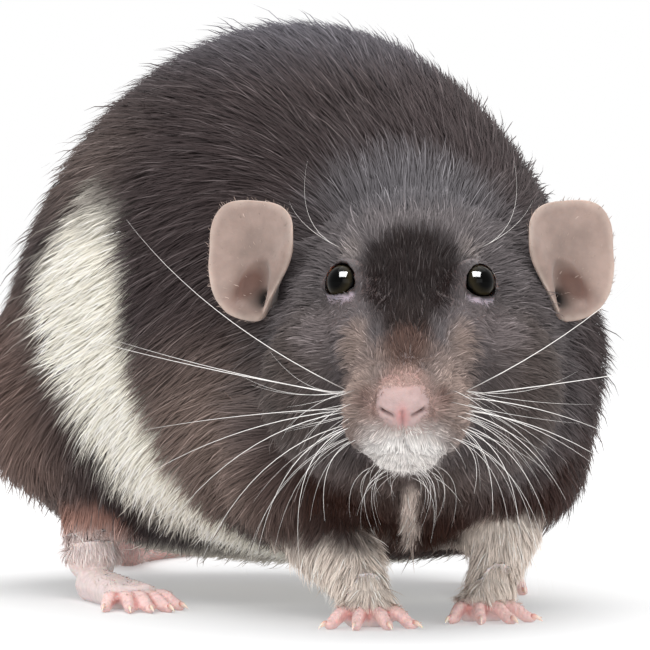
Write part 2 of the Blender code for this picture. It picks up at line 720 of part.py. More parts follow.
PARTS, CUTTERS = start_scene()
SHIFT = main()
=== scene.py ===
"""The looks of the pet rat: skin, eyes, ears, nose, feet, tail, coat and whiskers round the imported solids."""

import math
from functools import partial

import bmesh
import bpy
import numpy as np
from mathutils import Matrix, Vector, noise


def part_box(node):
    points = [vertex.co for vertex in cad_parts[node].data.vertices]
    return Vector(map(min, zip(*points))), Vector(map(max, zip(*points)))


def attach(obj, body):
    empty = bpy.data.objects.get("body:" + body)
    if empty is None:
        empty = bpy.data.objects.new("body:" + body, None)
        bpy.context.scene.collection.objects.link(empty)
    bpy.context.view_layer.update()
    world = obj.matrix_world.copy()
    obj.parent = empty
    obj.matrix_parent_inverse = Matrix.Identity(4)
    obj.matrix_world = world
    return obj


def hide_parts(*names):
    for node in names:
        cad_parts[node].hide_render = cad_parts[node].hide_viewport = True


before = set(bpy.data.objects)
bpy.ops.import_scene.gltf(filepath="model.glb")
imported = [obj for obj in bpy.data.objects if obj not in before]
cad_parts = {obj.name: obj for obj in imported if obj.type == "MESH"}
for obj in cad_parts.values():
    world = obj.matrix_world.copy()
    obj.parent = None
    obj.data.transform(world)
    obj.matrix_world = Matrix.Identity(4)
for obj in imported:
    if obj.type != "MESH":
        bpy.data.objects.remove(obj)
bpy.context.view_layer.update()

# Skin
# The living skin is one loose hide over the whole body. It lies inside the solids by the depth of the
# coat, which is deep on the back and next to nothing on the muzzle, lids and feet.

MM = 0.001
FACE_OVERLAP = 0.45 * MM
BODY_OVERLAP = 2.0 * MM
SKIN_GRAIN = 0.5 * MM
MERGE_DISTANCE = 0.002 * MM
# Where the body starts behind the face, in millimetres of the head, and how many triangles it keeps
BODY_START, BODY_TRIANGLES = 24, 36000
# Where the snout starts to be smoothed and where its mesh is finer, and how often each part is smoothed
SNOUT_START, FINE_START, FINE_ROUNDS = (-9, -4), -14, 3
SMOOTHINGS = {"body": 30, "snout": 6}


def middle_of(node):
    """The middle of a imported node's box."""
    low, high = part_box(node)
    return (low + high) / 2


EYES = {"left": middle_of("eye_left"), "right": middle_of("eye_right")}
SIDES = {"left": 1, "right": -1}
BETWEEN_EYES = (EYES["left"] + EYES["right"]) / 2
ACROSS_HEAD = EYES["left"] - EYES["right"]
HEAD_TURN = math.atan2(ACROSS_HEAD.y, ACROSS_HEAD.x)
HEAD = Matrix.Translation(BETWEEN_EYES) @ Matrix.Rotation(HEAD_TURN, 4, "Z") @ Matrix.Scale(MM, 4)
SPINE_X = (middle_of("thigh_left").x + middle_of("thigh_right").x) / 2
TRUNK = Matrix.Translation((SPINE_X, middle_of("torso").y, 0)) @ Matrix.Scale(MM, 4)

# Snout from the nose back to the eyes, in millimetres of the head: along, underside, top, half width
SNOUT = ((-21.0, -24.2, -13.9, 5.3), (-17.5, -26.0, -11.1, 7.6), (-13.5, -27.6, -8.5, 8.8),
         (-9.5, -29.0, -5.7, 9.6), (-5.5, -30.2, -2.7, 10.8), (-1.5, -31.2, 0.4, 12.8))
SNOUT_STEP = 1.0
# Soft masses of the muzzle: middle, half sizes, nose-down pitch. One off the middle stands for both sides
MUZZLE_MASSES = (
    ((4.8, -15.0, -19.1), (4.9, 8.0, 6.0), 28),
    ((7.8, 0.0, -8.6), (5.4, 9.0, 6.5), 25),
    ((0.0, -22.4, -18.3), (4.0, 2.7, 3.5), 15),
    ((2.5, -23.4, -18.0), (1.8, 1.5, 1.8), 0),
    ((2.3, -22.8, -15.9), (2.0, 1.8, 1.9), 0),
    ((0.0, -18.5, -22.7), (5.6, 4.4, 3.6), 10),
    ((2.2, -20.4, -22.6), (2.6, 2.4, 2.3), 10),
    ((0.0, -14.8, -25.4), (5.4, 6.0, 2.5), 10),
)
EYE_TURN, EYE_RISE = math.radians(35), 0.25


def eye_place(side_name):
    """The frame of an eye in millimetres, whose Y runs out through the pupil and whose Z runs up."""
    side = SIDES[side_name]
    outwards = Vector((side * math.sin(EYE_TURN), -math.cos(EYE_TURN), EYE_RISE)).normalized()
    up = (Vector((0, 0, 1)) - outwards * outwards.z).normalized()
    turn = Matrix((outwards.cross(up), outwards, up)).transposed().to_4x4()
    return Matrix.Translation(EYES[side_name]) @ HEAD.to_3x3().to_4x4() @ turn


def in_frame(points, place):
    """An array of points in the units of a frame, such as the millimetres of the head or the trunk."""
    back = np.array(place.inverted())
    return points @ back[:3, :3].T + back[:3, 3]


def smooth_step(values, start, end):
    """From 0 at start to 1 at end, without corners."""
    share = np.clip((values - start) / (end - start), 0, 1)
    return share * share * (3 - 2 * share)


def linked_object(name, source):
    """A new object in the scene from a bmesh, a mesh, a light or a camera."""
    data = source
    if isinstance(source, bmesh.types.BMesh):
        data = bpy.data.meshes.new(name)
        source.to_mesh(data)
        source.free()
    data.name = name
    made = bpy.data.objects.new(name, data)
    bpy.context.scene.collection.objects.link(made)
    return made


def set_on(thing, **settings):
    """Sets properties of a thing."""
    for name, value in settings.items():
        setattr(thing, name, value)


def modify(obj, kind, **settings):
    """Adds a modifier with its settings."""
    set_on(obj.modifiers.new(kind.lower(), kind), **settings)


def evaluated_mesh(obj):
    """The plain mesh that an object's modifiers make of it."""
    bpy.context.view_layer.update()
    return bpy.data.meshes.new_from_object(obj.evaluated_get(bpy.context.evaluated_depsgraph_get()))


def settle(obj):
    """Replaces an object's mesh by what its modifiers make of it."""
    mesh = evaluated_mesh(obj)
    obj.modifiers.clear()
    obj.data = mesh


def read_rows(data, field="vector", width=3):
    """A mesh layer's vectors as the rows of an array."""
    values = np.empty(len(data) * width, np.float32)
    data.foreach_get(field, values)
    return values.reshape(-1, width).astype(float)


def places(mesh):
    """The places of the vertices."""
    return read_rows(mesh.vertices, "co")


def normals(mesh):
    """The directions that the vertices face."""
    return read_rows(mesh.vertex_normals)


def lengths(rows):
    """The length of each row of an array."""
    return np.sqrt((rows ** 2).sum(1))


def move_to(mesh, points):
    """Puts the vertices at new places."""
    mesh.vertices.foreach_set("co", points.astype(np.float32).ravel())
    mesh.update()


def zone_on(obj, name, shares):
    """Adds a vertex group whose weight is one share for each vertex."""
    group = obj.vertex_groups.new(name=name)
    for k, share in enumerate(shares):
        if share > 0:
            group.add((k,), float(share), "REPLACE")


def node_overlap(points):
    """How far the nodes are grown to join: little on the face, so that its fine forms stay open."""
    behind = smooth_step(in_frame(points, HEAD)[:, 1], 19, 27)
    return FACE_OVERLAP + (BODY_OVERLAP - FACE_OVERLAP) * behind


def merged_copy(node):
    """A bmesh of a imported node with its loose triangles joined."""
    held = bmesh.new()
    held.from_mesh(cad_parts[node].data)
    bmesh.ops.remove_doubles(held, verts=held.verts, dist=MERGE_DISTANCE)
    return held


def flesh_copy(node):
    """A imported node's mesh, grown a little so that it joins its neighbours."""
    held = merged_copy(node)
    mesh = bpy.data.meshes.new(node)
    held.to_mesh(mesh)
    held.free()
    at = places(mesh)
    move_to(mesh, at + normals(mesh) * node_overlap(at)[:, None])
    return mesh


def add_mass(held, middle, radii, pitch=0):
    """Adds an ellipsoid of flesh to a bmesh, in the frame of the head."""
    size = [radius + FACE_OVERLAP / MM for radius in radii]
    turn = Matrix.Rotation(math.radians(pitch), 4, "X")
    place = HEAD @ Matrix.Translation(middle) @ turn @ Matrix.Diagonal((*size, 1))
    bmesh.ops.create_icosphere(held, subdivisions=4, radius=1, matrix=place)


def add_muzzle(held):
    """Builds the muzzle up from its snout, whisker pads, cheekbones, nose, lips and chin."""
    along, under, top, half_width = np.array(SNOUT).T
    for y in np.arange(along[0], along[-1], SNOUT_STEP):
        low, high, half = (float(np.interp(y, along, values)) for values in (under, top, half_width))
        add_mass(held, (0, y, (low + high) / 2), (half, 3.0, (high - low) / 2))
    for (x, y, z), radii, pitch in MUZZLE_MASSES:
        add_mass(held, (x, y, z), radii, pitch)
        if x > 0:
            add_mass(held, (-x, y, z), radii, pitch)


FLESH = ["muzzle", "head", "neck", "torso", "upper_arm_left", "upper_arm_right", "thigh_left",
         "thigh_right", "forearm_left", "forearm_right", "shank_left", "shank_right"]
flesh = bmesh.new()
add_muzzle(flesh)
for node in FLESH[1:]:
    flesh.from_mesh(flesh_copy(node))
skin = linked_object("skin", flesh)
modify(skin, "REMESH", mode="VOXEL", voxel_size=SKIN_GRAIN)
settle(skin)

# The body is thinned out, and the face keeps its fine grain, with the nose and lips finer still
along_head = in_frame(places(skin.data), HEAD)[:, 1]
zone_on(skin, "body", along_head > BODY_START)
zone_on(skin, "snout", 1 - smooth_step(along_head, *SNOUT_START))
on_body = set(np.flatnonzero(along_head > BODY_START).tolist())
faces = [(len(face.vertices) - 2, on_body.issuperset(face.vertices)) for face in skin.data.polygons]
all_triangles = sum(triangles for triangles, _ in faces)
face_triangles = sum(triangles for triangles, inside in faces if not inside)
modify(skin, "DECIMATE", vertex_group="body", ratio=(face_triangles + BODY_TRIANGLES) / all_triangles)
for zone, rounds in SMOOTHINGS.items():
    modify(skin, "SMOOTH", vertex_group=zone, factor=0.5, iterations=rounds)
settle(skin)
skin.vertex_groups.clear()


def finer(obj, inside, rounds):
    """Halves the edges where both ends are inside, and softens what that makes."""
    held = bmesh.new()
    held.from_mesh(obj.data)
    held.verts.ensure_lookup_table()
    edges = [edge for edge in held.edges if inside[edge.verts[0].index] and inside[edge.verts[1].index]]
    made = bmesh.ops.subdivide_edges(held, edges=edges, cuts=1, use_grid_fill=True)
    points = list({corner for edge in edges for corner in edge.verts if edge.is_valid})
    points += [item for item in made["geom_inner"] if isinstance(item, bmesh.types.BMVert)]
    axes = {"use_axis_" + axis: True for axis in "xyz"}
    for _ in range(rounds):
        bmesh.ops.smooth_vert(held, verts=list(set(points)), factor=0.5, **axes)
    held.to_mesh(obj.data)
    held.free()


finer(skin, in_frame(places(skin.data), HEAD)[:, 1] < FINE_START, FINE_ROUNDS)

# Coat at places of the head and the trunk: middle, length in millimetres, lie. A place off the middle
# stands for both sides.
COAT = {
    "nose pad": (HEAD, (0, -24, -17), 0.2, (0, 1, 0.3)),
    "nose root": (HEAD, (0, -20, -11), 0.9, (0, 0.8, 0.6)),
    "nose bridge": (HEAD, (0, -12, -6), 2.2, (0, 0.85, 0.5)),
    "whisker pad": (HEAD, (8, -17, -19), 1.6, (0.5, 0.85, -0.1)),
    "upper lip": (HEAD, (3, -22, -23), 0.9, (0.6, 0.5, -0.6)),
    "lip": (HEAD, (0, -21, -25), 1.1, (0.2, 0.5, -0.8)),
    "chin": (HEAD, (0, -16, -29), 2.6, (0, 0.75, -0.65)),
    "between the eyes": (HEAD, (0, -2, 1), 3.6, (0, 0.9, 0.45)),
    "inner lid": (HEAD, (6.6, -4, -1), 0.7, (-0.3, 0.4, 0.7)),
    "upper lid": (HEAD, (10, -4, 4), 0.7, (0.1, 0.5, 0.85)),
    "lower lid": (HEAD, (11, -4, -4), 0.7, (0.3, 0.6, -0.7)),
    "outer lid": (HEAD, (13.5, -1, 0), 0.7, (0.6, 0.8, 0.1)),
    "brow": (HEAD, (9, 4, 7), 4.2, (0.35, 0.9, 0.35)),
    "forehead": (HEAD, (0, 8, 8), 4.6, (0, 1, 0.35)),
    "temple": (HEAD, (17, 8, 2), 4.0, (0.5, 0.85, -0.05)),
    "under the eye": (HEAD, (12, -3, -9), 2.4, (0.5, 0.8, -0.35)),
    "cheek": (HEAD, (18, 8, -13), 5.2, (0.35, 0.85, -0.4)),
    "jaw": (HEAD, (12, 0, -27), 4.6, (0.25, 0.85, -0.45)),
    "ear root": (HEAD, (20.5, 16, -4), 5.0, (1.0, 0.5, 0.1)),
    "crown": (HEAD, (0, 20, 13), 6.2, (0, 1, 0.15)),
    "side of the neck": (HEAD, (27, 28, -14), 8.0, (0.2, 0.9, -0.5)),
    "throat": (HEAD, (0, 14, -37), 5.5, (0, 0.6, -0.8)),
    "nape": (TRUNK, (0, -48, 78), 8.8, (0, 1, 0.1)),
    "back": (TRUNK, (0, 0, 100), 9.5, (0, 1, 0)),
    "loin": (TRUNK, (0, 40, 85), 9.8, (0, 1, -0.2)),
    "rump": (TRUNK, (0, 62, 50), 9.5, (0, 0.8, -0.7)),
    "tail root": (TRUNK, (0, 66, 22), 5.0, (0, 1, -0.5)),
    "flank": (TRUNK, (44, 0, 50), 9.4, (0.05, 0.9, -0.45)),
    "haunch": (TRUNK, (46, 30, 40), 9.0, (0.1, 0.75, -0.65)),
    "knee": (TRUNK, (40, 2, 22), 6.5, (0, 0.5, -0.85)),
    "belly": (TRUNK, (0, 0, 6), 6.5, (0, 1, 0)),
    "side of the belly": (TRUNK, (34, -6, 12), 7.5, (-0.2, 0.85, -0.5)),
    "chest": (TRUNK, (0, -56, 16), 6.5, (0, 0.35, -0.95)),
    "shoulder": (TRUNK, (34, -38, 50), 8.8, (0.05, 0.75, -0.65)),
}
# Coat of the legs, which grows longer below some height towards the foot
LEG_COATS = {"forearm_left": 3.4, "forearm_right": 3.4, "shank_left": 3.6, "shank_right": 3.6}
WRIST_HEIGHT, LEG_HEIGHT, WRIST_LENGTHENING = 5.0, 14.0, 0.2
# How deep the skin lies under the nodes: a share of the coat's length, and the least in millimetres
COAT_LIFT, LEAST_DEPTH = 0.27, 0.08
# How the places of the coat blend: square millimetres added to each distance, and the power of its fall
COAT_BLEND, COAT_FALL = 6.0, 2.2


def from_middle(offset, middle):
    """How far places are from a middle, which stands for both sides if it is off the plane between."""
    if middle[0] > 0:
        offset[:, 0] = np.abs(offset[:, 0])
    return offset - middle


def leg_share(points, node, reach=5.0):
    """1 within the box of a leg's node, falling to 0 at some millimetres from it."""
    low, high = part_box(node)
    outside = np.maximum(np.maximum(np.array(low) - points, points - np.array(high)), 0)
    return 1 - smooth_step(lengths(outside) / MM, 0, reach)


def coat_at(points):
    """The coat's length in millimetres and the direction of its lie at each point."""
    total = np.zeros(len(points))
    length = np.zeros(len(points))
    lie = np.zeros((len(points), 3))
    for place, middle, hair, direction in COAT.values():
        offset = in_frame(points, place)
        towards = np.tile(np.array(direction, float), (len(points), 1))
        towards[:, 0] *= np.tanh(offset[:, 0] / 3)
        weight = 1 / ((from_middle(offset, middle) ** 2).sum(1) + COAT_BLEND) ** COAT_FALL
        total += weight
        length += weight * hair
        lie += weight[:, None] * (towards @ np.array(place.to_3x3().normalized()).T)
    length /= total
    lie /= total[:, None]
    for node, hair in LEG_COATS.items():
        share = leg_share(points, node)
        up_leg = smooth_step(points[:, 2] / MM, WRIST_HEIGHT, LEG_HEIGHT)
        length = length * (1 - share) + hair * (1 + WRIST_LENGTHENING - WRIST_LENGTHENING * up_leg) * share
        lie = lie * (1 - share[:, None]) + np.array((0, 0.1, -1)) * share[:, None]
    return length, lie


at = places(skin.data)
inwards = node_overlap(at) + (LEAST_DEPTH + COAT_LIFT * coat_at(at)[0]) * MM
move_to(skin.data, at - normals(skin.data) * inwards[:, None])

# The lids make the opening wide and flat below and narrower above, and slide over the eyeball. The left
# eye looks down a little.
LID_MIDDLE, LID_WIDTH = 2.7, 1.4
LOWER_LID_RISE, LOWER_LID_SPREAD, UPPER_LID_PINCH = 0.75, 0.35, 0.75
LID_DROP = {"left": 0.5, "right": 0.0}
LID_CLEARANCE = 3.42

at = places(skin.data)
for side_name in SIDES:
    to_eye = eye_place(side_name)
    on_eye = in_frame(at, to_eye)
    from_axis = np.hypot(on_eye[:, 0], on_eye[:, 2])
    on_lid = np.exp(-((from_axis - LID_MIDDLE) / LID_WIDTH) ** 2) * smooth_step(on_eye[:, 1], 0.2, 1.5)
    above = np.clip(on_eye[:, 2] / LID_MIDDLE, 0, 1)
    below = np.clip(-on_eye[:, 2] / LID_MIDDLE, 0, 1)
    on_eye[:, 0] *= 1 + (LOWER_LID_SPREAD * below - UPPER_LID_PINCH * above) / LID_MIDDLE * on_lid
    on_eye[:, 2] += (LOWER_LID_RISE * below - LID_DROP[side_name]) * on_lid
    away = lengths(on_eye)
    near = (away < LID_CLEARANCE) & (on_eye[:, 1] > 0.5) & (from_axis < 2 * LID_MIDDLE)
    on_eye[near] *= (LID_CLEARANCE / away[near])[:, None]
    at = np.where((on_lid > 0.01)[:, None], in_frame(on_eye, to_eye.inverted()), at)
move_to(skin.data, at)

# Lines pressed into the skin of the face, for one side: points, half width and depth in millimetres
SKIN_LINES = {
    "nostril": (((1.7, -25.4, -19.2), (2.5, -25.2, -18.8), (3.5, -24.4, -18.2)), 0.42, 1.1),
    "philtrum": (((0, -25.0, -18.6), (0, -24.2, -21.2), (0, -22.4, -23.4)), 0.34, 0.55),
    "mouth": (((0, -22.3, -23.9), (2.4, -21.4, -25.1), (4.8, -18.9, -26.0), (6.9, -15.1, -26.3)), 0.40, 0.7),
    "nose edge": (((0, -23.2, -14.1), (2.8, -22.8, -14.3), (4.7, -21.2, -16.4), (4.5, -21.4, -19.8)),
                  0.5, 0.2),
}
LINE_DEPTH_SHARE = 0.3
# Low bumps on the whisker pads, where the whiskers root: rows, columns, height and width, and the first
# one's place with the steps to the next row and the next column
FOLLICLE_ROWS, FOLLICLE_COLUMNS, FOLLICLE_RISE, FOLLICLE_WIDTH = 5, 6, 0.16, 0.35
FOLLICLE_START, ROW_STEP, COLUMN_STEP = np.array(((8.0, -11.0, -15.6), (-0.7, -0.5, -1.6), (0, -1.9, 0)))
# The muzzle bends a little to the rat's right and down: where it starts, and by how much per millimetre
BEND_START = -4.0
BEND = (-0.055, 0.0, -0.035)


def from_line(points, line):
    """The distance of each point to the nearest stretch of a line, where depth counts for less."""
    flat = np.array((1, LINE_DEPTH_SHARE, 1))
    nearest = np.full(len(points), np.inf)
    for a, b in zip(line, line[1:]):
        a, b = np.array(a, float) * flat, np.array(b, float) * flat
        share = np.clip(((points * flat - a) @ (b - a)) / ((b - a) @ (b - a)), 0, 1)
        nearest = np.minimum(nearest, lengths(points * flat - a - share[:, None] * (b - a)))
    return nearest


def bent(on_head):
    """Points in the millimetres of the head after the muzzle's slight bend."""
    ahead = np.maximum(0, BEND_START - on_head[:, 1])
    return on_head + ahead[:, None] * np.array(BEND)


at = places(skin.data)
mirrored = in_frame(at, HEAD)
mirrored[:, 0] = np.abs(mirrored[:, 0])
pressed = np.zeros(len(at))
on_front = smooth_step(-mirrored[:, 1], 10, 14)
for line, half_width, depth in SKIN_LINES.values():
    pressed += on_front * depth * np.exp(-(from_line(mirrored, line) / half_width) ** 2)
for row in range(FOLLICLE_ROWS):
    for column in range(FOLLICLE_COLUMNS):
        root = FOLLICLE_START + column * COLUMN_STEP + row * ROW_STEP
        offset = (mirrored - root) * (0.4, 1, 1)
        pressed -= FOLLICLE_RISE * np.exp(-(offset ** 2).sum(1) / FOLLICLE_WIDTH)
move_to(skin.data, at - normals(skin.data) * (pressed * MM)[:, None])

# Markings
# The rat's coat is slate grey with browner hips, a dark blaze between the eyes, white lips and a cream
# band that runs from the belly up each flank. Skin and coat are coloured by the same soft shapes.

BACK, CREAM = (60, 51, 51), (240, 235, 222)
# How much the edges of the shapes wander, and how much the coat is lighter and darker in patches
RAGGED_EDGE, PATCHES, PATCH_SIZE = 0.12, 0.14, 14
# Soft shapes of colour in the order they are laid: frame, middle, half sizes, softness, colour. One off
# the middle stands for both sides, and the band goes between those of the body and those of the face.
BODY_PAINT = {
    "spine": (TRUNK, (0, -22, 106), (26, 62, 16), 0.7, (88, 86, 93)),
    "hips": (TRUNK, (0, 60, 30), (60, 44, 52), 0.45, (103, 88, 82)),
    "hip side": (TRUNK, (46, 34, 30), (14, 30, 26), 0.5, (112, 93, 86)),
    "hip top": (TRUNK, (42, 12, 78), (14, 24, 11), 0.7, (98, 85, 80)),
    "elbow": (TRUNK, (38, -46, 28), (15, 22, 17), 0.7, (116, 100, 93)),
    "belly": (TRUNK, (0, 0, -4), (60, 62, 15), 0.25, (232, 225, 212)),
}
FACE_PAINT = {
    "head": (HEAD, (0, 6, -10), (30, 30, 32), 0.25, (92, 86, 87)),
    "crown": (HEAD, (0, 24, 15), (15, 8, 8), 0.6, (90, 87, 90)),
    "cheek": (HEAD, (20, 2, -16), (9, 13, 13), 0.6, (80, 71, 68)),
    "jaw": (HEAD, (0, 0, -34), (20, 18, 9), 0.5, (86, 74, 70)),
    "chest": (TRUNK, (-8, -60, 24), (25, 17, 15), 0.4, (56, 27, 13)),
    "brow streak": (HEAD, (8.6, 5.4, 6.4), (1.8, 4, 3.6), 0.6, (130, 121, 118)),
    "under the eye": (HEAD, (12.5, -3, -6.5), (5.0, 5, 3.6), 0.7, (110, 101, 101)),
    "cheek streak": (HEAD, (7.6, -8, -9.5), (1.8, 5, 3.4), 0.6, (140, 124, 117)),
    "blaze": (HEAD, (0, -0.5, 1.5), (8.0, 11.5, 11), 0.22, (24, 13, 12)),
    "blaze point": (HEAD, (0, -10, -6), (3.8, 5.5, 5), 0.4, (34, 24, 22)),
    "bridge": (HEAD, (0, -15.5, -9.8), (4.6, 5.5, 5), 0.5, (76, 56, 49)),
    "muzzle side": (HEAD, (7.5, -16, -17.4), (5.4, 8, 7.4), 0.6, (146, 128, 120)),
    "beside the nose": (HEAD, (5.6, -21.5, -15.8), (1.2, 2.4, 2.4), 0.6, (100, 80, 74)),
    "nose root": (HEAD, (0, -21.6, -13.2), (4.0, 2.8, 2.0), 0.7, (140, 114, 105)),
    "nose edge": (HEAD, (0, -23.6, -16.8), (5.5, 4.4, 4.6), 0.35, (160, 134, 126)),
    "under the nose": (HEAD, (0, -22, -22.4), (5.5, 6, 2.6), 0.6, (206, 196, 191)),
    "upper lip": (HEAD, (0, -21, -25.0), (5.8, 8, 3.2), 0.45, (230, 226, 223)),
    "chin": (HEAD, (0, -17, -26.6), (5.6, 8, 2.4), 0.45, (228, 222, 218)),
    "chest line": (HEAD, (0, 12, -37), (1.5, 18, 9), 0.35, (226, 210, 200)),
}
BARE = {
    "round the nose": (HEAD, (0, -23, -16.6), (6.4, 5, 5.0), 0.4, (146, 116, 108)),
    "nose": (HEAD, (0, -25, -17.6), (4.6, 4.2, 3.9), 0.24, (168, 144, 141)),
    "nose top": (HEAD, (0, -21.5, -13.5), (3.6, 3.0, 2.4), 0.6, (160, 124, 116)),
    "nose middle": (HEAD, (0, -25.5, -19.4), (0.9, 2.0, 1.6), 0.9, (178, 128, 126)),
}
# The lid's dark margin, which also paints shade into the corners of the eyes; the pale rim under each eye; and
# the painted shade of the face's pressed lines
LID_EDGE_AND_SHADE, LID_RIM, PRESSED_LINE_SHADE = (24, 18, 20), (160, 146, 156), (84, 50, 46)
# Skin under the coat: a share of the coat's colour and a share of pink
UNDER_COAT, UNDER_PINK, SKIN_PINK = 0.62, 0.04, (234, 178, 174)
# The cream band's front and rear on the trunk: where they meet the floor, and their slant. Higher up the
# rear turns forwards, and the top falls off ahead.
BAND_FRONT, BAND_REAR = (-42.4, 0.41), (-33.4, 0.83)
BAND_TURN, BAND_TOP = (11.6, 1.2, 60), (68, 0.4, 6)
# The cream of each foreleg: its height, and how far from the middle of the chest it is at that height
LEG_CREAMS = {"forearm_left": (17.5, 12.0), "forearm_right": (13.5, 3.0)}
LEG_CREAM_REACH, LEG_CREAM_FALL, SHANK_REACH = 4.6, 0.9, 3.0
LEG_CREAM, SHANK_COLOUR, HEEL_COLOUR = (226, 213, 202), (160, 122, 110), (228, 212, 208)
# Between which heights the colours of the shank and the heel fade out
SHANK_FADE, HEEL_FADE = (15, 20), (11, 15)
# The opening of an eye: half width, how much wider below, half height and how much lower below
OPENING_WIDTH, OPENING_HEIGHT = (2.7, 0.45), (2.9, 0.2)


def srgb(levels):
    """A colour of the scene from its screen levels of 0 to 255."""
    shares = np.array(levels, float) / 255
    return np.where(shares <= 0.04045, shares / 12.92, ((shares + 0.055) / 1.055) ** 2.4)


def ragged(points, grain):
    """Smooth noise over the points, from about -1 to 1, with lumps of so many millimetres."""
    return np.array([noise.noise(Vector(point) / (grain * MM)) for point in points])


def mixed(colour, paint, share):
    """The colours with a share of another one in each."""
    return colour + (srgb(paint) - colour) * share[:, None]


def plain(points, paint):
    """The same colour for each point."""
    return np.tile(srgb(paint), (len(points), 1))


def on_opening(points, side_name):
    """Points in the millimetres of an eye, from the middle of its opening."""
    return in_frame(points, eye_place(side_name)) + (0, 0, LID_DROP[side_name])


def from_opening(on_eye):
    """0 at the middle of an eye's opening and 1 at its edge, narrow above and wide and flat below."""
    x, z = np.abs(on_eye[:, 0]), on_eye[:, 2]
    below = smooth_step(-z, 0, 1.4)
    half_width = OPENING_WIDTH[0] + OPENING_WIDTH[1] * below
    half_height = OPENING_HEIGHT[0] - OPENING_HEIGHT[1] * below
    power = 2 + 2 * below
    return ((x / half_width) ** power + (np.abs(z) / half_height) ** power) ** (1 / power)


def painted(points, colour, shapes, raggedness):
    """The colours with soft shapes laid over them in order."""
    for place, middle, radii, softness, paint in shapes.values():
        offset = from_middle(in_frame(points, place), middle)
        reach = lengths(offset / radii) + RAGGED_EDGE * raggedness
        colour = mixed(colour, paint, 1 - smooth_step(reach, 1 - softness, 1 + softness))
    return colour


def band_share(points, raggedness):
    """How much of the cream band is at each point: a slanting stripe that fades out below the spine."""
    x, y, z = in_frame(points, TRUNK).T
    front = BAND_FRONT[0] + BAND_FRONT[1] * z + 1.2 * raggedness
    turned = BAND_TURN[0] - BAND_TURN[1] * np.maximum(0, z - BAND_TURN[2])
    rear = np.minimum(BAND_REAR[0] + BAND_REAR[1] * z, turned) + 5.0 * raggedness
    top = BAND_TOP[0] + BAND_TOP[1] * (y + BAND_TOP[2]) + 5 * raggedness
    inside = smooth_step(y - front, -0.8, 0.8) * (1 - smooth_step(y - rear, -6.0, 5.0))
    return inside * (1 - smooth_step(z, top - 6, top + 5))


def coat_colours(points):
    """The colour of the coat at each point."""
    raggedness = ragged(points, 3.5) + 0.5 * ragged(points, 1.2)
    colour = plain(points, BACK) * (1 + PATCHES * ragged(points, PATCH_SIZE)[:, None])
    colour = painted(points, colour, BODY_PAINT, raggedness)
    colour = mixed(colour, CREAM, band_share(points, raggedness))
    colour = painted(points, colour, FACE_PAINT, raggedness)
    height = points[:, 2] / MM
    for node, (top, full_from) in LEG_CREAMS.items():
        near_leg = leg_share(points, node, LEG_CREAM_REACH)
        outwards = SIDES[node.split("_")[1]] * in_frame(points, HEAD)[:, 0]
        top = top - LEG_CREAM_FALL * np.maximum(0, full_from - outwards)
        share = near_leg * (1 - smooth_step(height + 1.5 * raggedness, top - 2, top + 2))
        colour = mixed(colour, LEG_CREAM, share)
    for node in ("shank_left", "shank_right"):
        share = leg_share(points, node, SHANK_REACH)
        colour = mixed(colour, SHANK_COLOUR, share * (1 - smooth_step(height, *SHANK_FADE)))
        colour = mixed(colour, HEEL_COLOUR, share * (1 - smooth_step(height, *HEEL_FADE)))
    return np.clip(colour, 0.0, 1.0)


def store(mesh, name, kind, values):
    """Keeps an array of values on a mesh's vertices as a named attribute."""
    layer = mesh.attributes.new(name, kind, "POINT")
    if kind == "FLOAT_COLOR":
        values = np.column_stack((values, np.ones(len(values))))
    field = {"FLOAT": "value", "FLOAT_VECTOR": "vector", "FLOAT_COLOR": "color"}[kind]
    layer.data.foreach_set(field, values.astype(np.float32).ravel())


at = places(skin.data)
coat_colour = coat_colours(at)
store(skin.data, "coat_colour", "FLOAT_COLOR", coat_colour)
bare_colour = coat_colour * UNDER_COAT + UNDER_PINK * srgb(SKIN_PINK)
bare_colour = painted(at, bare_colour, BARE, ragged(at, 2.0) * 0.5)
for side_name in SIDES:
    on_eye = on_opening(at, side_name)
    in_front = smooth_step(on_eye[:, 1], 0.0, 0.6)
    # Near black inside each opening: the lid's dark margin, and painted shade in the corners where the lids
    # meet the ball
    bare_colour = mixed(bare_colour, LID_EDGE_AND_SHADE, in_front * (1 - smooth_step(from_opening(on_eye), 0.9, 1.3)))
    under_opening = 0.06 * on_eye[:, 0] ** 2 - 2.45 - on_eye[:, 2]
    rim = smooth_step(under_opening, -0.15, 0.15) * (1 - smooth_step(under_opening, 0.7, 1.3))
    rim *= 1 - smooth_step(np.abs(on_eye[:, 0]), 2.6, 3.4)
    bare_colour = mixed(bare_colour, LID_RIM, 0.9 * in_front * rim)
# Painted shade: the nostrils, the mouth and the other pressed lines darken with their depth
bare_colour = mixed(bare_colour, PRESSED_LINE_SHADE, 0.8 * smooth_step(pressed, 0.25, 0.95))
store(skin.data, "skin_colour", "FLOAT_COLOR", bare_colour)


def add(tree, kind, inputs=None, **settings):
    """Adds a node with its settings, and with values or links in its inputs; returns its outputs."""
    node = tree.nodes.new(kind)
    set_on(node, **settings)
    for key, value in (inputs or {}).items():
        if isinstance(value, bpy.types.NodeSocket):
            tree.links.new(value, node.inputs[key])
        else:
            node.inputs[key].default_value = value
    return node.outputs


def number(tree, operation, *inputs):
    """A number that a tree works out from others."""
    return add(tree, "ShaderNodeMath", dict(enumerate(inputs)), operation=operation)[0]


def vector(tree, operation, *inputs):
    """A vector or a colour that a tree works out from others."""
    return add(tree, "ShaderNodeVectorMath", dict(enumerate(inputs)), operation=operation)[0]


def scaled(tree, colour, amount):
    """A vector or a colour times a number."""
    return add(tree, "ShaderNodeVectorMath", {0: colour, "Scale": amount}, operation="SCALE")[0]


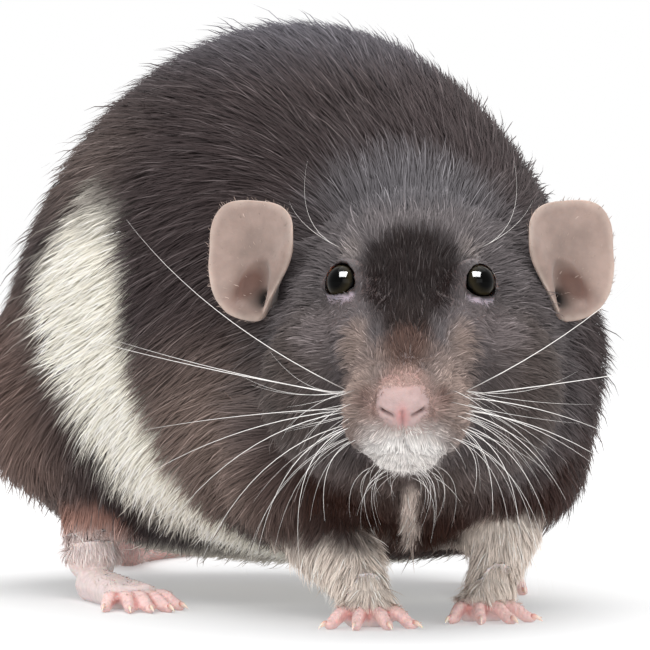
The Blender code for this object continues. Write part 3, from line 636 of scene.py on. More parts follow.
def ranged(tree, value, start, end, low, high, **settings):
    """A number that goes from low to high while another one goes from start to end."""
    return add(tree, "ShaderNodeMapRange", {"Value": value, "From Min": start, "From Max": end,
                                            "To Min": low, "To Max": high}, **settings)[0]


def kept(tree, name, output="Fac"):
    """What a mesh keeps under a name, read in its material."""
    return add(tree, "ShaderNodeAttribute", attribute_name=name)[output]


def object_place(tree):
    """The place on the object, in metres."""
    return add(tree, "ShaderNodeTexCoord")["Object"]


def grain(tree, scale, detail):
    """Noise over the object, whose lumps are about a metre over its scale."""
    place = object_place(tree)
    return add(tree, "ShaderNodeTexNoise", {"Vector": place, "Scale": scale, "Detail": detail})[0]


def ramp(tree, share, *steps):
    """A colour that runs through steps, each a position and the colour there."""
    colour = add(tree, "ShaderNodeValToRGB", {"Fac": share})[0]
    elements = colour.node.color_ramp.elements
    while len(elements) < len(steps):
        elements.new(1.0)
    for element, (position, paint) in zip(elements, steps):
        element.position = position
        element.color = (*paint, 1)
    return colour


def start_finish(name, values):
    """A new material and its node tree, with plain values on its shader's sockets."""
    made = bpy.data.materials.new(name)
    made.use_nodes = True
    for socket, value in values.items():
        made.node_tree.nodes["Principled BSDF"].inputs[socket].default_value = value
    return made, made.node_tree


def finished(made, colour, height=None, strength=0.0, distance=0.0):
    """A material whose shader gets its colour, and perhaps a height pressed into its normal."""
    tree = made.node_tree
    shader = tree.nodes["Principled BSDF"].inputs
    tree.links.new(colour, shader["Base Color"])
    if height is not None:
        bump = add(tree, "ShaderNodeBump", {"Height": height, "Strength": strength, "Distance": distance})
        tree.links.new(bump["Normal"], shader["Normal"])
    return made


def blotched(tree, name, size, amount):
    """The colour that a mesh keeps, lighter and darker in blotches of so many millimetres."""
    level = ranged(tree, grain(tree, 1000 / size, 4), 0.3, 0.7, 1 - amount, 1 + amount)
    return scaled(tree, kept(tree, name, "Color"), level)


def skin_finish(name, roughness=0.5, subsurface=0.25):
    """Living skin: fine pores and creases, soft light within it, and a faint damp gloss."""
    made, tree = start_finish(name, {
        "Roughness": roughness, "Subsurface Weight": subsurface, "Subsurface Scale": 0.0012,
        "Subsurface Radius": (1.0, 0.4, 0.25), "Specular IOR Level": 0.4})
    pores = add(tree, "ShaderNodeTexVoronoi", {"Vector": object_place(tree), "Scale": 3200},
                feature="DISTANCE_TO_EDGE")["Distance"]
    height = number(tree, "MULTIPLY_ADD", pores, 1.5, grain(tree, 1600, 5))
    return finished(made, blotched(tree, "skin_colour", 1.3, 0.10), height, 0.5, 0.00012)


def dress(piece, finish, slot, *nodes):
    """Gives a piece its finish, hangs it on the root body and hides the nodes it stands for. The slot is not
    used.
    """
    piece.data.materials.clear()
    piece.data.materials.append(finish)
    piece.data.shade_smooth()
    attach(piece, "root")
    if nodes:
        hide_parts(*nodes)


dress(skin, skin_finish("damp skin"), "coat_grey", *FLESH)

# Eyes
# Each eye is a wet black ball with a clear domed cornea. A faint olive iris rings the wide pupil, and
# the lids of the skin close round it.

EYE_RADIUS = (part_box("eye_left")[1].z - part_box("eye_left")[0].z) / 2
# The ball's share of its node, and how far the cornea reaches and rises, as shares of the radius
BALL_SHARE, CORNEA_EDGE, CORNEA_RISE = 0.98, 0.85, 0.12
PUPIL, IRIS = 0.46, 0.74


def eye_ball(side_name):
    """An eyeball with a domed cornea, and how far each point is from the pupil's middle."""
    held = bmesh.new()
    bmesh.ops.create_uvsphere(held, u_segments=64, v_segments=48, radius=1)
    away = []
    for point in held.verts:
        from_axis = math.hypot(point.co.x, point.co.y) if point.co.z > 0 else 1.0
        away.append(from_axis)
        point.co *= 1 + CORNEA_RISE * max(0.0, 1 - (from_axis / CORNEA_EDGE) ** 2) ** 1.5
    held.transform(eye_place(side_name) @ Matrix.Rotation(-math.pi / 2, 4, "X")
                   @ Matrix.Scale(EYE_RADIUS / MM * BALL_SHARE, 4))
    ball = linked_object("eye_ball_" + side_name, held)
    store(ball.data, "from_pupil", "FLOAT", np.array(away))
    return ball


def eye_finish():
    """Black, with a dim iris under a clear wet coat."""
    made, tree = start_finish("wet black eye", {"Roughness": 0.03, "IOR": 1.34, "Specular IOR Level": 0.11})
    away = number(tree, "MULTIPLY_ADD", grain(tree, 2600, 3), 0.10, kept(tree, "from_pupil"))
    return finished(made, ramp(tree, away, (PUPIL, srgb((1, 1, 1))), (PUPIL + 0.08, srgb((16, 14, 9))),
                               (IRIS, srgb((38, 33, 21))), (IRIS + 0.10, srgb((3, 3, 3)))))


WET_EYE = eye_finish()
eye_balls = [eye_ball(side_name) for side_name in SIDES]
for ball, side_name in zip(eye_balls, SIDES):
    dress(ball, WET_EYE, "eye", "eye_" + side_name)

# Ears
# A rat's ear is a thin round dish of nearly bare skin. It is hollow towards its root, where the ear
# canal opens behind a small fold, and the light shines a little through its rim.

EAR_HEIGHT, EAR_WIDTH, EAR_THICKNESS = 19.0, 16.5, 0.8
EAR_TURNS, EAR_STEPS = 96, 34
# The ear's place on the head in millimetres, and its turns in degrees about X, Y and Z
EAR_AT = Vector((24.8, 21.0, 3.7))
EAR_LEAN, EAR_TILT, EAR_TURN = -8, -5, 34
EAR_COLOUR, EAR_INSIDE, EAR_RIM, EAR_BEHIND = (150, 130, 121), (130, 112, 104), (170, 152, 142), (112, 94, 88)
# Brown down in the hollow and near black in the canal: painted shade
EAR_HOLLOW_SHADE, EAR_CANAL_SHADE = (84, 54, 43), (20, 14, 13)


def dish(r, turn, side, lift):
    """Points of the ear's dish: r from middle to rim, turn round it, lift from its front to its back."""
    x, z = r * np.cos(turn), r * np.sin(turn)
    root = np.exp(-((x + 0.38) ** 2 + (z + 0.42) ** 2) / 0.13)
    at_root = smooth_step(-0.75 * x - 0.66 * z, 0.30, 0.95)
    hollow = 3.0 * r ** 2 * (1 - 1.1 * at_root) - 1.6 * root
    fold = 1.4 * np.maximum(0, x) ** 3 + 0.8 * np.maximum(0, z) ** 3
    thickness = EAR_THICKNESS * (1 - 0.55 * r ** 4) + 3.2 * root
    front = 1 - lift
    canal = 2.0 * np.exp(-((x + 0.26) ** 2 + (z + 0.60) ** 2) / 0.022)
    flap = -0.9 * np.exp(-((x - 0.02) ** 2 / 0.03 + (z + 0.78) ** 2 / 0.014))
    ridge = -0.45 * np.exp(-((np.hypot(x + 0.25, z + 0.40) - 0.46) / 0.09) ** 2) * (1 - at_root)
    waves = 0.10 * np.sin(5 * turn + 1.5) * r ** 3 + 0.05 * np.sin(11 * turn) * r ** 4
    y = -hollow + fold + lift * thickness + front * (canal + flap + ridge) + waves
    corner = (np.abs(np.cos(turn)) ** 3 + np.abs(np.sin(turn)) ** 3) ** (-1 / 3)
    square = 1 + (corner - 1) * r ** 2 * (z > 0)
    narrow = 1 - 0.55 * smooth_step(-x, 0, 0.6) * smooth_step(0.5 - z, 0, 1.3)
    across = x * square * narrow * (1 + 0.12 * z) - 0.12 * np.maximum(0, -z) ** 2
    return np.stack((side * across * EAR_WIDTH / 2, y, z * square * EAR_HEIGHT / 2), -1)


def closed_object(name, held, place):
    """A new object from a bmesh whose faces are turned outwards, moved to its place."""
    bmesh.ops.recalc_face_normals(held, faces=held.faces)
    held.transform(place)
    return linked_object(name, held)


def ear_skin(side_name):
    """One ear, with its colour: beige-pink, paler at the rim, with painted shade making it brown down in the
    hollow and near black in the canal.
    """
    side = SIDES[side_name]
    front = [(r, 0.0) for r in np.linspace(0.0, 0.985, EAR_STEPS)]
    rim = [(1.0, 0.12), (1.008, 0.5), (1.0, 0.88)]
    rows = front + rim + [(r, 1.0) for r, _ in reversed(front)]
    turns = np.arange(EAR_TURNS) * math.tau / EAR_TURNS
    held = bmesh.new()
    rings = []
    for r, lift in rows:
        ring = dish(r, turns[:1] if r == 0 else turns, side, lift)
        rings.append([held.verts.new(point) for point in ring])
    for a, b in zip(rings, rings[1:]):
        for k in range(EAR_TURNS):
            corners = [a[k % len(a)], b[k % len(b)], b[(k + 1) % len(b)], a[(k + 1) % len(a)]]
            held.faces.new(list(dict.fromkeys(corners)))
    turned = Matrix()
    for angle, axis in ((EAR_TURN * side, "Z"), (EAR_TILT * side, "Y"), (EAR_LEAN, "X")):
        turned = turned @ Matrix.Rotation(math.radians(angle), 4, axis)
    place = HEAD @ Matrix.Translation((side * EAR_AT.x, EAR_AT.y, EAR_AT.z)) @ turned
    made = closed_object("ear_skin_" + side_name, held, place)
    grid = [(r, lift, turn) for r, lift in rows for turn in (turns[:1] if r == 0 else turns)]
    r, lift, turn = np.array(grid).T
    x, z = r * np.cos(turn), r * np.sin(turn)
    colour = mixed(plain(r, EAR_COLOUR), EAR_INSIDE, 0.8 * (1 - smooth_step(r, 0.2, 0.85)))
    colour = mixed(colour, EAR_RIM, smooth_step(r, 0.86, 0.99))
    # Painted shade: brown in the hollow and near black in the canal's pit, on the front only
    hollow = np.exp(-((x - 0.08 + 0.5 * (z + 0.42)) ** 2 / 0.09 + (z + 0.42) ** 2 / 0.12)) * (1 - lift)
    colour = mixed(colour, EAR_HOLLOW_SHADE, np.clip(1.3 * hollow, 0, 0.92))
    canal_shade = np.exp(-((x + 0.26) ** 2 + (z + 0.60) ** 2) / 0.03) * (1 - lift)
    colour = mixed(colour, EAR_CANAL_SHADE, np.clip(1.4 * canal_shade, 0, 1))
    colour = mixed(colour, EAR_BEHIND, 0.7 * smooth_step(lift, 0.4, 1.0))
    store(made.data, "ear_colour", "FLOAT_COLOR", colour)
    return made


def ear_finish():
    """Thin bare skin that lets some light through, in soft blotches and with a fine grain."""
    made, tree = start_finish("thin ear skin", {
        "Roughness": 0.55, "Subsurface Weight": 0.25, "Subsurface Scale": 0.0012,
        "Subsurface Radius": (1.0, 0.6, 0.5), "Specular IOR Level": 0.3, "Sheen Weight": 0.2})
    return finished(made, blotched(tree, "ear_colour", 2.4, 0.12), grain(tree, 1900, 6), 0.45, 0.0001)


EAR_FINISH = ear_finish()
ears = {}
for side_name in SIDES:
    ears[side_name] = ear_skin(side_name)
    dress(ears[side_name], EAR_FINISH, "ear_skin", "ear_" + side_name)

# Feet
# The feet are bare pink skin, with four fingers in front and five toes behind. Rings of small scales
# cross each toe, and the pads rest flat on the floor.

FOOT_GRAIN = 0.28 * MM
# How far the wrist and the ankle narrow into the fur of the leg, and between which heights
LEG_SUNK = {"fore": 0.7, "hind": 1.7}
LEG_STARTS = {"fore": (4.4, 8.0), "hind": (7.5, 11.5)}
# How far the wrist and the ankle go on up inside the fur of the leg, in millimetres
LEG_RISE = 1.4
# Each foot: the middle of its pads, its heading in degrees, its kind and how far its toes spread
FEET = {
    "forepaw_left": ((-4.6, -65.5, 2.0), -12, "fore", 1.0),
    "forepaw_right": ((-26.4, -67.9, 2.0), -24, "fore", 1.0),
    "hind_foot_left": ((31.2, -8.6, 1.9), -28, "hind", 0.45),
    "hind_foot_right": ((-42.0, -15.0, 1.9), -9, "hind", 1.0),
}
# Each digit: its heading from the foot's own in degrees, and its length
DIGITS = {
    "fore": ((-40, 6.6), (-13, 7.8), (13, 7.8), (40, 6.6)),
    "hind": ((-34, 7.0), (-14, 10.5), (0, 11.0), (14, 10.5), (34, 7.0)),
}
DIGIT_RADIUS = {"fore": 1.2, "hind": 1.3}
TOE_RINGS = 9
FOOT_COLOUR, TOE_COLOUR, RING_COLOUR = (218, 200, 198), (224, 184, 179), (238, 206, 200)
# Painted shade in the creases between the digits, and the paler skin of the ankle
TOE_CREASE_SHADE, ANKLE_COLOUR = (198, 134, 128), (232, 216, 210)
# Where the digits start: a share of their heading across the foot, a height, and how much of it they turn
DIGIT_SPREAD = {"fore": (0.062, -0.4, 1.0), "hind": (0.10, -0.5, 0.75)}
# The eyes' midpoint in the millimetres that the feet, the tail and the whiskers are placed in
EYES_AT = Vector((-23.4, -76.3, 53.3))
BODY = Matrix.Translation(BETWEEN_EYES) @ Matrix.Scale(MM, 4) @ Matrix.Translation(-EYES_AT)


def digit_ends(foot):
    """Where each digit of a foot starts, its heading and its length."""
    pads, heading, kind, spread = FEET[foot]
    across_share, drop, turn_share = DIGIT_SPREAD[kind]
    heading = math.radians(heading)
    across = Vector((math.cos(heading), math.sin(heading), 0))
    for turn, length in DIGITS[kind]:
        start = Vector(pads) + across * turn * across_share + Vector((0, 0, drop))
        towards = heading + math.radians(turn * turn_share * spread)
        yield start, Vector((math.sin(towards), -math.cos(towards), 0)), length


def foot_skin(node):
    """A fine skin over a foot's node, with the rings of its toes and a colour of its own."""
    foot = linked_object("skin_of_" + node, merged_copy(node))
    modify(foot, "REMESH", mode="VOXEL", voxel_size=FOOT_GRAIN)
    modify(foot, "SMOOTH", factor=0.5, iterations=10)
    settle(foot)
    at = places(foot.data)
    placed = in_frame(at, BODY)
    nearest = np.full(len(at), np.inf)
    along = np.zeros(len(at))
    for start, ahead, length in digit_ends(node):
        share = np.clip((placed - start) @ np.array(ahead), 0, length)
        offset = placed - np.array(start) - share[:, None] * np.array(ahead)
        away = np.hypot(offset[:, 0], offset[:, 1])
        along = np.where(away < nearest, share / length, along)
        nearest = np.minimum(nearest, away)
    on_toe = smooth_step(along, 0.18, 0.34)
    above = smooth_step(placed[:, 2], 0.5, 1.4)
    rings = np.cos(along * TOE_RINGS * math.tau) * on_toe * above
    crease = smooth_step(nearest, 0.7, 1.3) * smooth_step(along, 0.05, 0.3)
    normal = normals(foot.data)
    sunk = (0.05 * rings + 0.12 * crease) * np.clip(1 - np.abs(normal[:, 2] * (placed[:, 2] < 0.4)), 0, 1)
    kind = FEET[node][2]
    sunk += LEG_SUNK[kind] * smooth_step(placed[:, 2], *LEG_STARTS[kind])
    moved = at - normal * (np.where(placed[:, 2] < 0.25, 0, sunk) * MM)[:, None]
    top = placed[:, 2].max()
    moved[:, 2] += LEG_RISE * MM * smooth_step(placed[:, 2], top - 1.2, top - 0.2)
    move_to(foot.data, moved)
    colour = mixed(plain(at, FOOT_COLOUR), TOE_COLOUR, 0.7 * on_toe)
    colour = mixed(colour, RING_COLOUR, 0.5 * on_toe * (rings > 0.3))
    # Painted shade darkens the creases between the digits
    colour = mixed(colour, TOE_CREASE_SHADE, 0.8 * crease * above)
    colour = mixed(colour, ANKLE_COLOUR, (1 - on_toe) * smooth_step(placed[:, 2], 3.0, 6.0) * 0.7)
    store(foot.data, "skin_colour", "FLOAT_COLOR", colour)
    return foot


FOOT_FINISH = skin_finish("pink foot skin", 0.45, 0.4)
feet = {}
for node in FEET:
    feet[node] = foot_skin(node)
    dress(feet[node], FOOT_FINISH, "skin_pink", node)

# Claws
# Eighteen short curved claws of pale, half-clear horn, one on each digit, darker where the quick shows
# through at the root.

CLAW_LENGTH, CLAW_SIDES, CLAW_FLATTEN = 2.0, 10, 0.72
CLAW_RADII = (0.50, 0.48, 0.41, 0.31, 0.20, 0.06)


def sweep(held, points, radii, sides, flatten=1.0):
    """Adds a closed tapering tube through points to a bmesh; returns how far along each vertex is."""
    points = [Vector(point) for point in points]
    rings, shares = [], []
    side = None
    for k, point in enumerate(points):
        along = (points[min(k + 1, len(points) - 1)] - points[max(k - 1, 0)]).normalized()
        side = along.cross(Vector((0, 0, 1))) if side is None else side
        side = (side - along * side.dot(along)).normalized()
        up = side.cross(along)
        ring = []
        for j in range(sides):
            turn = math.tau * j / sides
            outwards = side * math.cos(turn) * flatten + up * math.sin(turn)
            ring.append(held.verts.new(point + outwards * radii[k]))
            shares.append(k / (len(points) - 1))
        rings.append(ring)
    for a, b in zip(rings, rings[1:]):
        for k in range(sides):
            held.faces.new((a[k], b[k], b[k - 1], a[k - 1]))
    held.faces.new(rings[0])
    held.faces.new(reversed(rings[-1]))
    return shares


def claws_of(foot):
    """The claws of one foot, each bent down from the tip of its digit."""
    radius = DIGIT_RADIUS[FEET[foot][2]]
    held = bmesh.new()
    shares = []
    for start, ahead, length in digit_ends(foot):
        end = Vector((start.x, start.y, 0)) + ahead * length + Vector((0, 0, radius * 0.55))
        tip = end + ahead * radius * 0.3 + Vector((0, 0, radius * 0.25))
        points = [tip + ahead * CLAW_LENGTH * (t - 0.12) + Vector((0, 0, 0.28 * t - 0.98 * t ** 2))
                  for t in (k / (len(CLAW_RADII) - 1) for k in range(len(CLAW_RADII)))]
        shares += sweep(held, points, CLAW_RADII, CLAW_SIDES, CLAW_FLATTEN)
    made = closed_object("claws_" + foot, held, BODY)
    store(made.data, "along", "FLOAT", np.array(shares))
    return made


def claw_finish():
    """Pale horn, pinker over the quick and with fine growth lines along it."""
    made, tree = start_finish("pale claw horn", {
        "Roughness": 0.28, "Subsurface Weight": 0.4, "Subsurface Scale": 0.0008, "Coat Weight": 0.3})
    lines = grain(tree, 4200, 3)
    along = number(tree, "MULTIPLY_ADD", lines, 0.2, kept(tree, "along"))
    colour = ramp(tree, along, (0.15, srgb((214, 150, 140))), (0.65, srgb((224, 206, 190))))
    return finished(made, colour, lines, 0.3, 0.00005)


CLAW_FINISH = claw_finish()
for node in FEET:
    dress(claws_of(node), CLAW_FINISH, "skin_pink")

# Tail
# The tail is long and nearly bare. Rings of small scales go round it from root to tip, and it tapers
# evenly as it curls along the floor beside the rat.

TAIL_PATH = (
    (0.0, 58.0, 27.0), (0.5, 68.0, 21.0), (2.0, 78.0, 12.0), (5.5, 88.0, 5.4), (12.0, 99.0, 2.5),
    (21.0, 109.0, 1.0), (33.0, 118.0, 1.0), (47.0, 124.0, 1.0), (62.0, 124.0, 1.0), (75.0, 116.0, 1.0),
    (84.0, 103.0, 1.0), (87.0, 88.0, 1.0), (84.0, 74.0, 1.0), (77.0, 62.0, 1.0),
)
TAIL_ROOT_RADIUS, TAIL_TIP_RADIUS, TAIL_SUNK = 5.2, 1.3, 0.22
TAIL_RING, TAIL_STEPS_PER_RING, TAIL_SIDES = 0.95, 4, 30
TAIL_COLOUR, TAIL_ROOT_COLOUR, TAIL_BLOTCH_COLOUR = (206, 158, 150), (168, 138, 134), (150, 122, 120)


def smooth_path(points, step):
    """Points at even steps along the smooth curve through some points."""
    dense = []
    for k in range(len(points) - 1):
        p = [Vector(points[min(max(k + j, 0), len(points) - 1)]) for j in (-1, 0, 1, 2)]
        for j in range(24):
            t = j / 24
            dense.append((p[0] * (-t ** 3 + 2 * t ** 2 - t) + p[1] * (3 * t ** 3 - 5 * t ** 2 + 2)
                          + p[2] * (-3 * t ** 3 + 4 * t ** 2 + t) + p[3] * (t ** 3 - t ** 2)) / 2)
    dense.append(Vector(points[-1]))
    table = np.array(dense)
    gone = np.concatenate(([0], np.cumsum(lengths(np.diff(table, axis=0)))))
    want = np.linspace(0, gone[-1], int(gone[-1] / step) + 1)
    return np.stack([np.interp(want, gone, table[:, k]) for k in range(3)], -1), gone[-1]


def tail_skin():
    """The whole tail, with a low ridge at the rear edge of each ring of scales."""
    centres, length = smooth_path(TAIL_PATH, TAIL_RING / TAIL_STEPS_PER_RING)
    share = np.linspace(0, 1, len(centres))
    radii = TAIL_ROOT_RADIUS + (TAIL_TIP_RADIUS - TAIL_ROOT_RADIUS) * share ** 0.8
    centres[:, 2] = np.maximum(centres[:, 2], radii - TAIL_SUNK)
    phase = (np.arange(len(centres)) % TAIL_STEPS_PER_RING) / TAIL_STEPS_PER_RING
    ridged = radii * (0.985 + 0.022 * phase) * np.minimum(1, np.sqrt(np.maximum(0, 1 - share) * 90) + 0.15)
    held = bmesh.new()
    shares = sweep(held, centres, ridged.tolist(), TAIL_SIDES)
    tail = closed_object("tail_skin", held, BODY)
    at = places(tail.data)
    at[:, 2] = np.maximum(at[:, 2], 0)
    move_to(tail.data, at)
    share = np.array(shares)
    turn = np.tile(np.arange(TAIL_SIDES) / TAIL_SIDES, len(centres))
    store(tail.data, "scales", "FLOAT_VECTOR", np.column_stack((share * length / TAIL_RING, turn, share)))
    towards_tip = np.repeat(np.gradient(centres, axis=0), TAIL_SIDES, axis=0)
    store(tail.data, "towards_tip", "FLOAT_VECTOR", towards_tip)
    colour = mixed(plain(at, TAIL_COLOUR), TAIL_ROOT_COLOUR, 0.8 * (1 - smooth_step(share, 0.0, 0.35)))
    colour = mixed(colour, TAIL_BLOTCH_COLOUR, 0.5 * smooth_step(ragged(at, 9), 0.1, 0.5))
    store(tail.data, "tail_colour", "FLOAT_COLOR", colour)
    return tail


def tail_finish():
    """Rows of scales round the tail, with painted shade darkening the grooves between them."""
    made, tree = start_finish("ringed tail skin", {
        "Roughness": 0.5, "Subsurface Weight": 0.2, "Subsurface Scale": 0.001,
        "Subsurface Radius": (1.0, 0.4, 0.25), "Specular IOR Level": 0.4})
    along, turn, _ = add(tree, "ShaderNodeSeparateXYZ", {0: kept(tree, "scales", "Vector")})
    in_ring = number(tree, "FRACT", along)
    rise = number(tree, "SINE", number(tree, "MULTIPLY", turn, TAIL_SIDES * math.pi))
    rise = number(tree, "ABSOLUTE", rise)
    # Painted shade: each ring is darker at its start, in the groove
    groove_shade = ranged(tree, in_ring, 0.0, 0.3, 0.72, 1.0)
    colour = scaled(tree, blotched(tree, "tail_colour", 2.0, 0.10), groove_shade)
    return finished(made, colour, number(tree, "MULTIPLY_ADD", in_ring, 0.8, rise), 0.6, 0.00012)


tail = tail_skin()
dress(tail, tail_finish(), "skin_pink", "tail_base", "tail_middle", "tail_end", "tail_tip")

# Coat
# The coat is soft, dense and short on the face, and longer on the back and flanks, with some longer
# guard hairs. Each strand is a small flat lock that rises from its root and then lies along the body.

STRAND_POINTS = 4
# How much strands differ in length, lift and width: by how much, and the least share. Guard hairs are
# longer and stand up more.
LENGTH_VARIES, LIFT_VARIES, WIDTH_VARIES = (0.55, 0.68), (0.7, 0.6), (0.6, 0.7)
GUARD_LENGTH, GUARD_LIFT, WIDTH_BY_LENGTH = (0.2, 1.0), (0.35, 1.0), (62.0, 0.62)
# How far strands roll in radians, the power by which their tips gather, and how far their normals keep
# to the blade; the size of a strand's patch on the bake map
ROLL, GATHERING, OWN_NORMAL, BAKE_PATCH = 1.7, 1.4, 0.7, (0.0015, 0.003)
# Brightness from root to tip and from strand to strand; the palest strands, and the lightest colour
ROOT_TO_TIP, STRAND_TO_STRAND = (0.66, 1.12), (0.82, 1.18)
PALEST_STRANDS, GLINTS, LIGHTEST = (0.95, 1, 1, 1.8), (0.93, 1, 0, 0.035), (0.9, 0.88, 0.84)
# Strands per square millimetre, fewer where the coat is longer, with the least and the most of them
STRANDS_AT_1MM, DENSITY_EASE, LEAST_STRANDS, MOST_STRANDS = 56, 1.6, 5.2, 20
UNDERSIDE_STRANDS, QUICK_STRANDS = 0.72, 0.2
LOWEST_HAIR = 0.05
ZONES = {
    "muzzle": (HEAD, (0, -18, -18)), "face_left": (HEAD, (14, 2, -6)), "face_right": (HEAD, (-14, 2, -6)),
    "crown": (HEAD, (0, 24, 14)), "throat": (HEAD, (0, 16, -34)), "chest": (TRUNK, (0, -44, 14)),
    "shoulder_left": (TRUNK, (36, -30, 50)), "shoulder_right": (TRUNK, (-38, -26, 50)),
    "back": (TRUNK, (0, -8, 98)), "loin": (TRUNK, (0, 42, 82)), "flank_left": (TRUNK, (46, 14, 40)),
    "flank_right": (TRUNK, (-46, 14, 40)), "rump": (TRUNK, (0, 64, 36)), "belly": (TRUNK, (0, 10, 4)),
}
# No coat grows on the nose, middle and half sizes, or on the edges of the lids
BALD_NOSE = ((0, -25, -17.6), (4.3, 3.9, 3.5))
BALD_EDGE, BALD_LIDS = (0.80, 1.12), (1.0, 1.25)


def new_tree(name, inputs):
    """A geometry node tree with named inputs."""
    tree = bpy.data.node_groups.new(name, "GeometryNodeTree")
    tree.interface.new_socket(name="Geometry", in_out="OUTPUT", socket_type="NodeSocketGeometry")
    for label, (kind, value) in inputs.items():
        socket = tree.interface.new_socket(name=label, in_out="INPUT", socket_type="NodeSocket" + kind)
        if value is not None:
            socket.default_value = value
    return tree, add(tree, "NodeGroupInput")


def finish_tree(tree, hairs, finish):
    """Ends a tree with smooth hairs in their finish."""
    hairs = add(tree, "GeometryNodeSetShadeSmooth", {"Geometry": hairs})[0]
    hairs = add(tree, "GeometryNodeSetMaterial", {"Geometry": hairs, "Material": finish})[0]
    add(tree, "NodeGroupOutput", {0: hairs})
    return tree


def grown(obj, tree, values):
    """The plain mesh that a tree makes from an object, with its inputs set by their identifiers."""
    growth = obj.modifiers.new("growth", "NODES")
    growth.node_group = tree
    for item in tree.interface.items_tree:
        if item.in_out == "INPUT" and item.name in values:
            growth[item.identifier] = values[item.name]
    mesh = evaluated_mesh(obj)
    obj.modifiers.remove(growth)
    return mesh


def coat_tree():
    """Strands over a skin, from its coat_length, coat_density, lie, skin_normal and root_uv."""
    tree, given = new_tree("coat strands", {
        "Skin": ("Geometry", None), "Strands": ("Float", 1.0), "Width": ("Float", 0.00016),
        "Lift": ("Float", 0.23), "Clump size": ("Float", 0.0035), "Clumping": ("Float", 0.30),
        "Sway": ("Float", 0.14), "Guard hairs": ("Float", 0.04), "Seed": ("Int", 1),
        "Finish": ("Material", None)})

    node, value, vectors, times = (partial(make, tree) for make in (add, number, vector, scaled))

    def product(first, *others):
        """The numbers multiplied in order."""
        for other in others:
            first = value("MULTIPLY", first, other)
        return first

    def named(name, kind="FLOAT"):
        """What the mesh keeps under a name."""
        return node("GeometryNodeInputNamedAttribute", {"Name": name}, data_type=kind)[0]

    def keep(geometry, name, kind, amount, domain="POINT"):
        """The geometry with a value kept on it under a name."""
        return node("GeometryNodeStoreNamedAttribute", {"Geometry": geometry, "Name": name, "Value": amount},
                    data_type=kind, domain=domain)[0]

    def chance(step):
        """Three random numbers for each root."""
        return node("FunctionNodeRandomValue", {"Seed": value("ADD", given["Seed"], step)},
                    data_type="FLOAT_VECTOR")[0]

    # Roots, with what each strand needs to know
    position = node("GeometryNodeInputPosition")[0]
    roots = node("GeometryNodeDistributePointsOnFaces", {
        "Mesh": given["Skin"], "Density": product(named("coat_density"), given["Strands"], 1e6),
        "Seed": given["Seed"]}, distribute_method="RANDOM")["Points"]
    clumps = node("ShaderNodeTexVoronoi", {
        "Vector": position, "Scale": value("DIVIDE", 1.0, given["Clump size"])}, feature="F1")["Position"]
    for name, amount in (("root", position), ("clump", vectors("SUBTRACT", clumps, position)),
                         ("chance_a", chance(11)), ("chance_b", chance(12))):
        roots = keep(roots, name, "FLOAT_VECTOR", amount)

    # One blade: across its width from -1 to 1, along its length from 0 to 1, coming to a point
    grid = node("GeometryNodeMeshGrid", {"Size X": 2.0, "Size Y": 1.0, "Vertices X": 2,
                                         "Vertices Y": STRAND_POINTS})["Mesh"]
    x, y, _ = node("ShaderNodeSeparateXYZ", {0: position})
    t = value("ADD", y, 0.5)
    taper = value("SQRT", value("MAXIMUM", 0.0, value("SUBTRACT", 1.0, product(t, t))))
    blade = keep(keep(grid, "along", "FLOAT", t), "across", "FLOAT", product(x, taper))
    narrow = node("ShaderNodeCombineXYZ", {"X": named("across"), "Y": named("along")})[0]
    blade = node("GeometryNodeSetPosition", {"Geometry": blade, "Position": narrow})[0]
    blade = node("GeometryNodeMergeByDistance", {"Geometry": blade, "Distance": 0.001})[0]
    strands = node("GeometryNodeInstanceOnPoints", {"Points": roots, "Instance": blade})[0]
    strands = node("GeometryNodeRealizeInstances", {"Geometry": strands})[0]

    # Each point goes out along the strand's own curve
    by_length, by_lift, by_sway = node("ShaderNodeSeparateXYZ", {0: named("chance_a", "FLOAT_VECTOR")})
    by_roll, by_width, by_kind = node("ShaderNodeSeparateXYZ", {0: named("chance_b", "FLOAT_VECTOR")})
    t, across = named("along"), named("across")
    normal, lie = named("skin_normal", "FLOAT_VECTOR"), named("lie", "FLOAT_VECTOR")
    guard = value("LESS_THAN", by_kind, given["Guard hairs"])
    length = product(named("coat_length"), value("MULTIPLY_ADD", by_length, *LENGTH_VARIES))
    length = product(length, value("MULTIPLY_ADD", guard, *GUARD_LENGTH))
    lift = product(given["Lift"], value("MULTIPLY_ADD", by_lift, *LIFT_VARIES),
                   value("MULTIPLY_ADD", guard, *GUARD_LIFT))
    side = vectors("NORMALIZE", vectors("CROSS_PRODUCT", lie, normal))
    rise = product(product(t, value("SUBTRACT", 2.0, t)), product(length, lift))
    swing = product(value("SUBTRACT", by_sway, 0.5), product(given["Sway"], 2.0))
    swing = product(product(swing, length), product(t, t))
    roll = product(value("SUBTRACT", by_roll, 0.5), ROLL)
    width = product(given["Width"], value("MULTIPLY_ADD", by_width, *WIDTH_VARIES),
                    value("MULTIPLY_ADD", named("coat_length"), *WIDTH_BY_LENGTH), 0.5, across)
    cosine, sine = value("COSINE", roll), value("SINE", roll)
    facing = vectors("SUBTRACT", times(normal, cosine), times(side, sine))
    edge = vectors("ADD", times(side, cosine), times(normal, sine))
    gather = product(given["Clumping"], value("POWER", t, GATHERING))
    clump = named("clump", "FLOAT_VECTOR")
    off_skin = node("ShaderNodeVectorMath", {0: clump, 1: normal}, operation="DOT_PRODUCT")["Value"]
    clump = vectors("SUBTRACT", clump, times(normal, off_skin))
    place = named("root", "FLOAT_VECTOR")
    for direction, amount in ((lie, product(t, length)), (normal, rise), (side, swing), (clump, gather),
                              (edge, width)):
        place = vectors("ADD", place, times(direction, amount))
    strands = node("GeometryNodeSetPosition", {"Geometry": strands, "Position": place})[0]

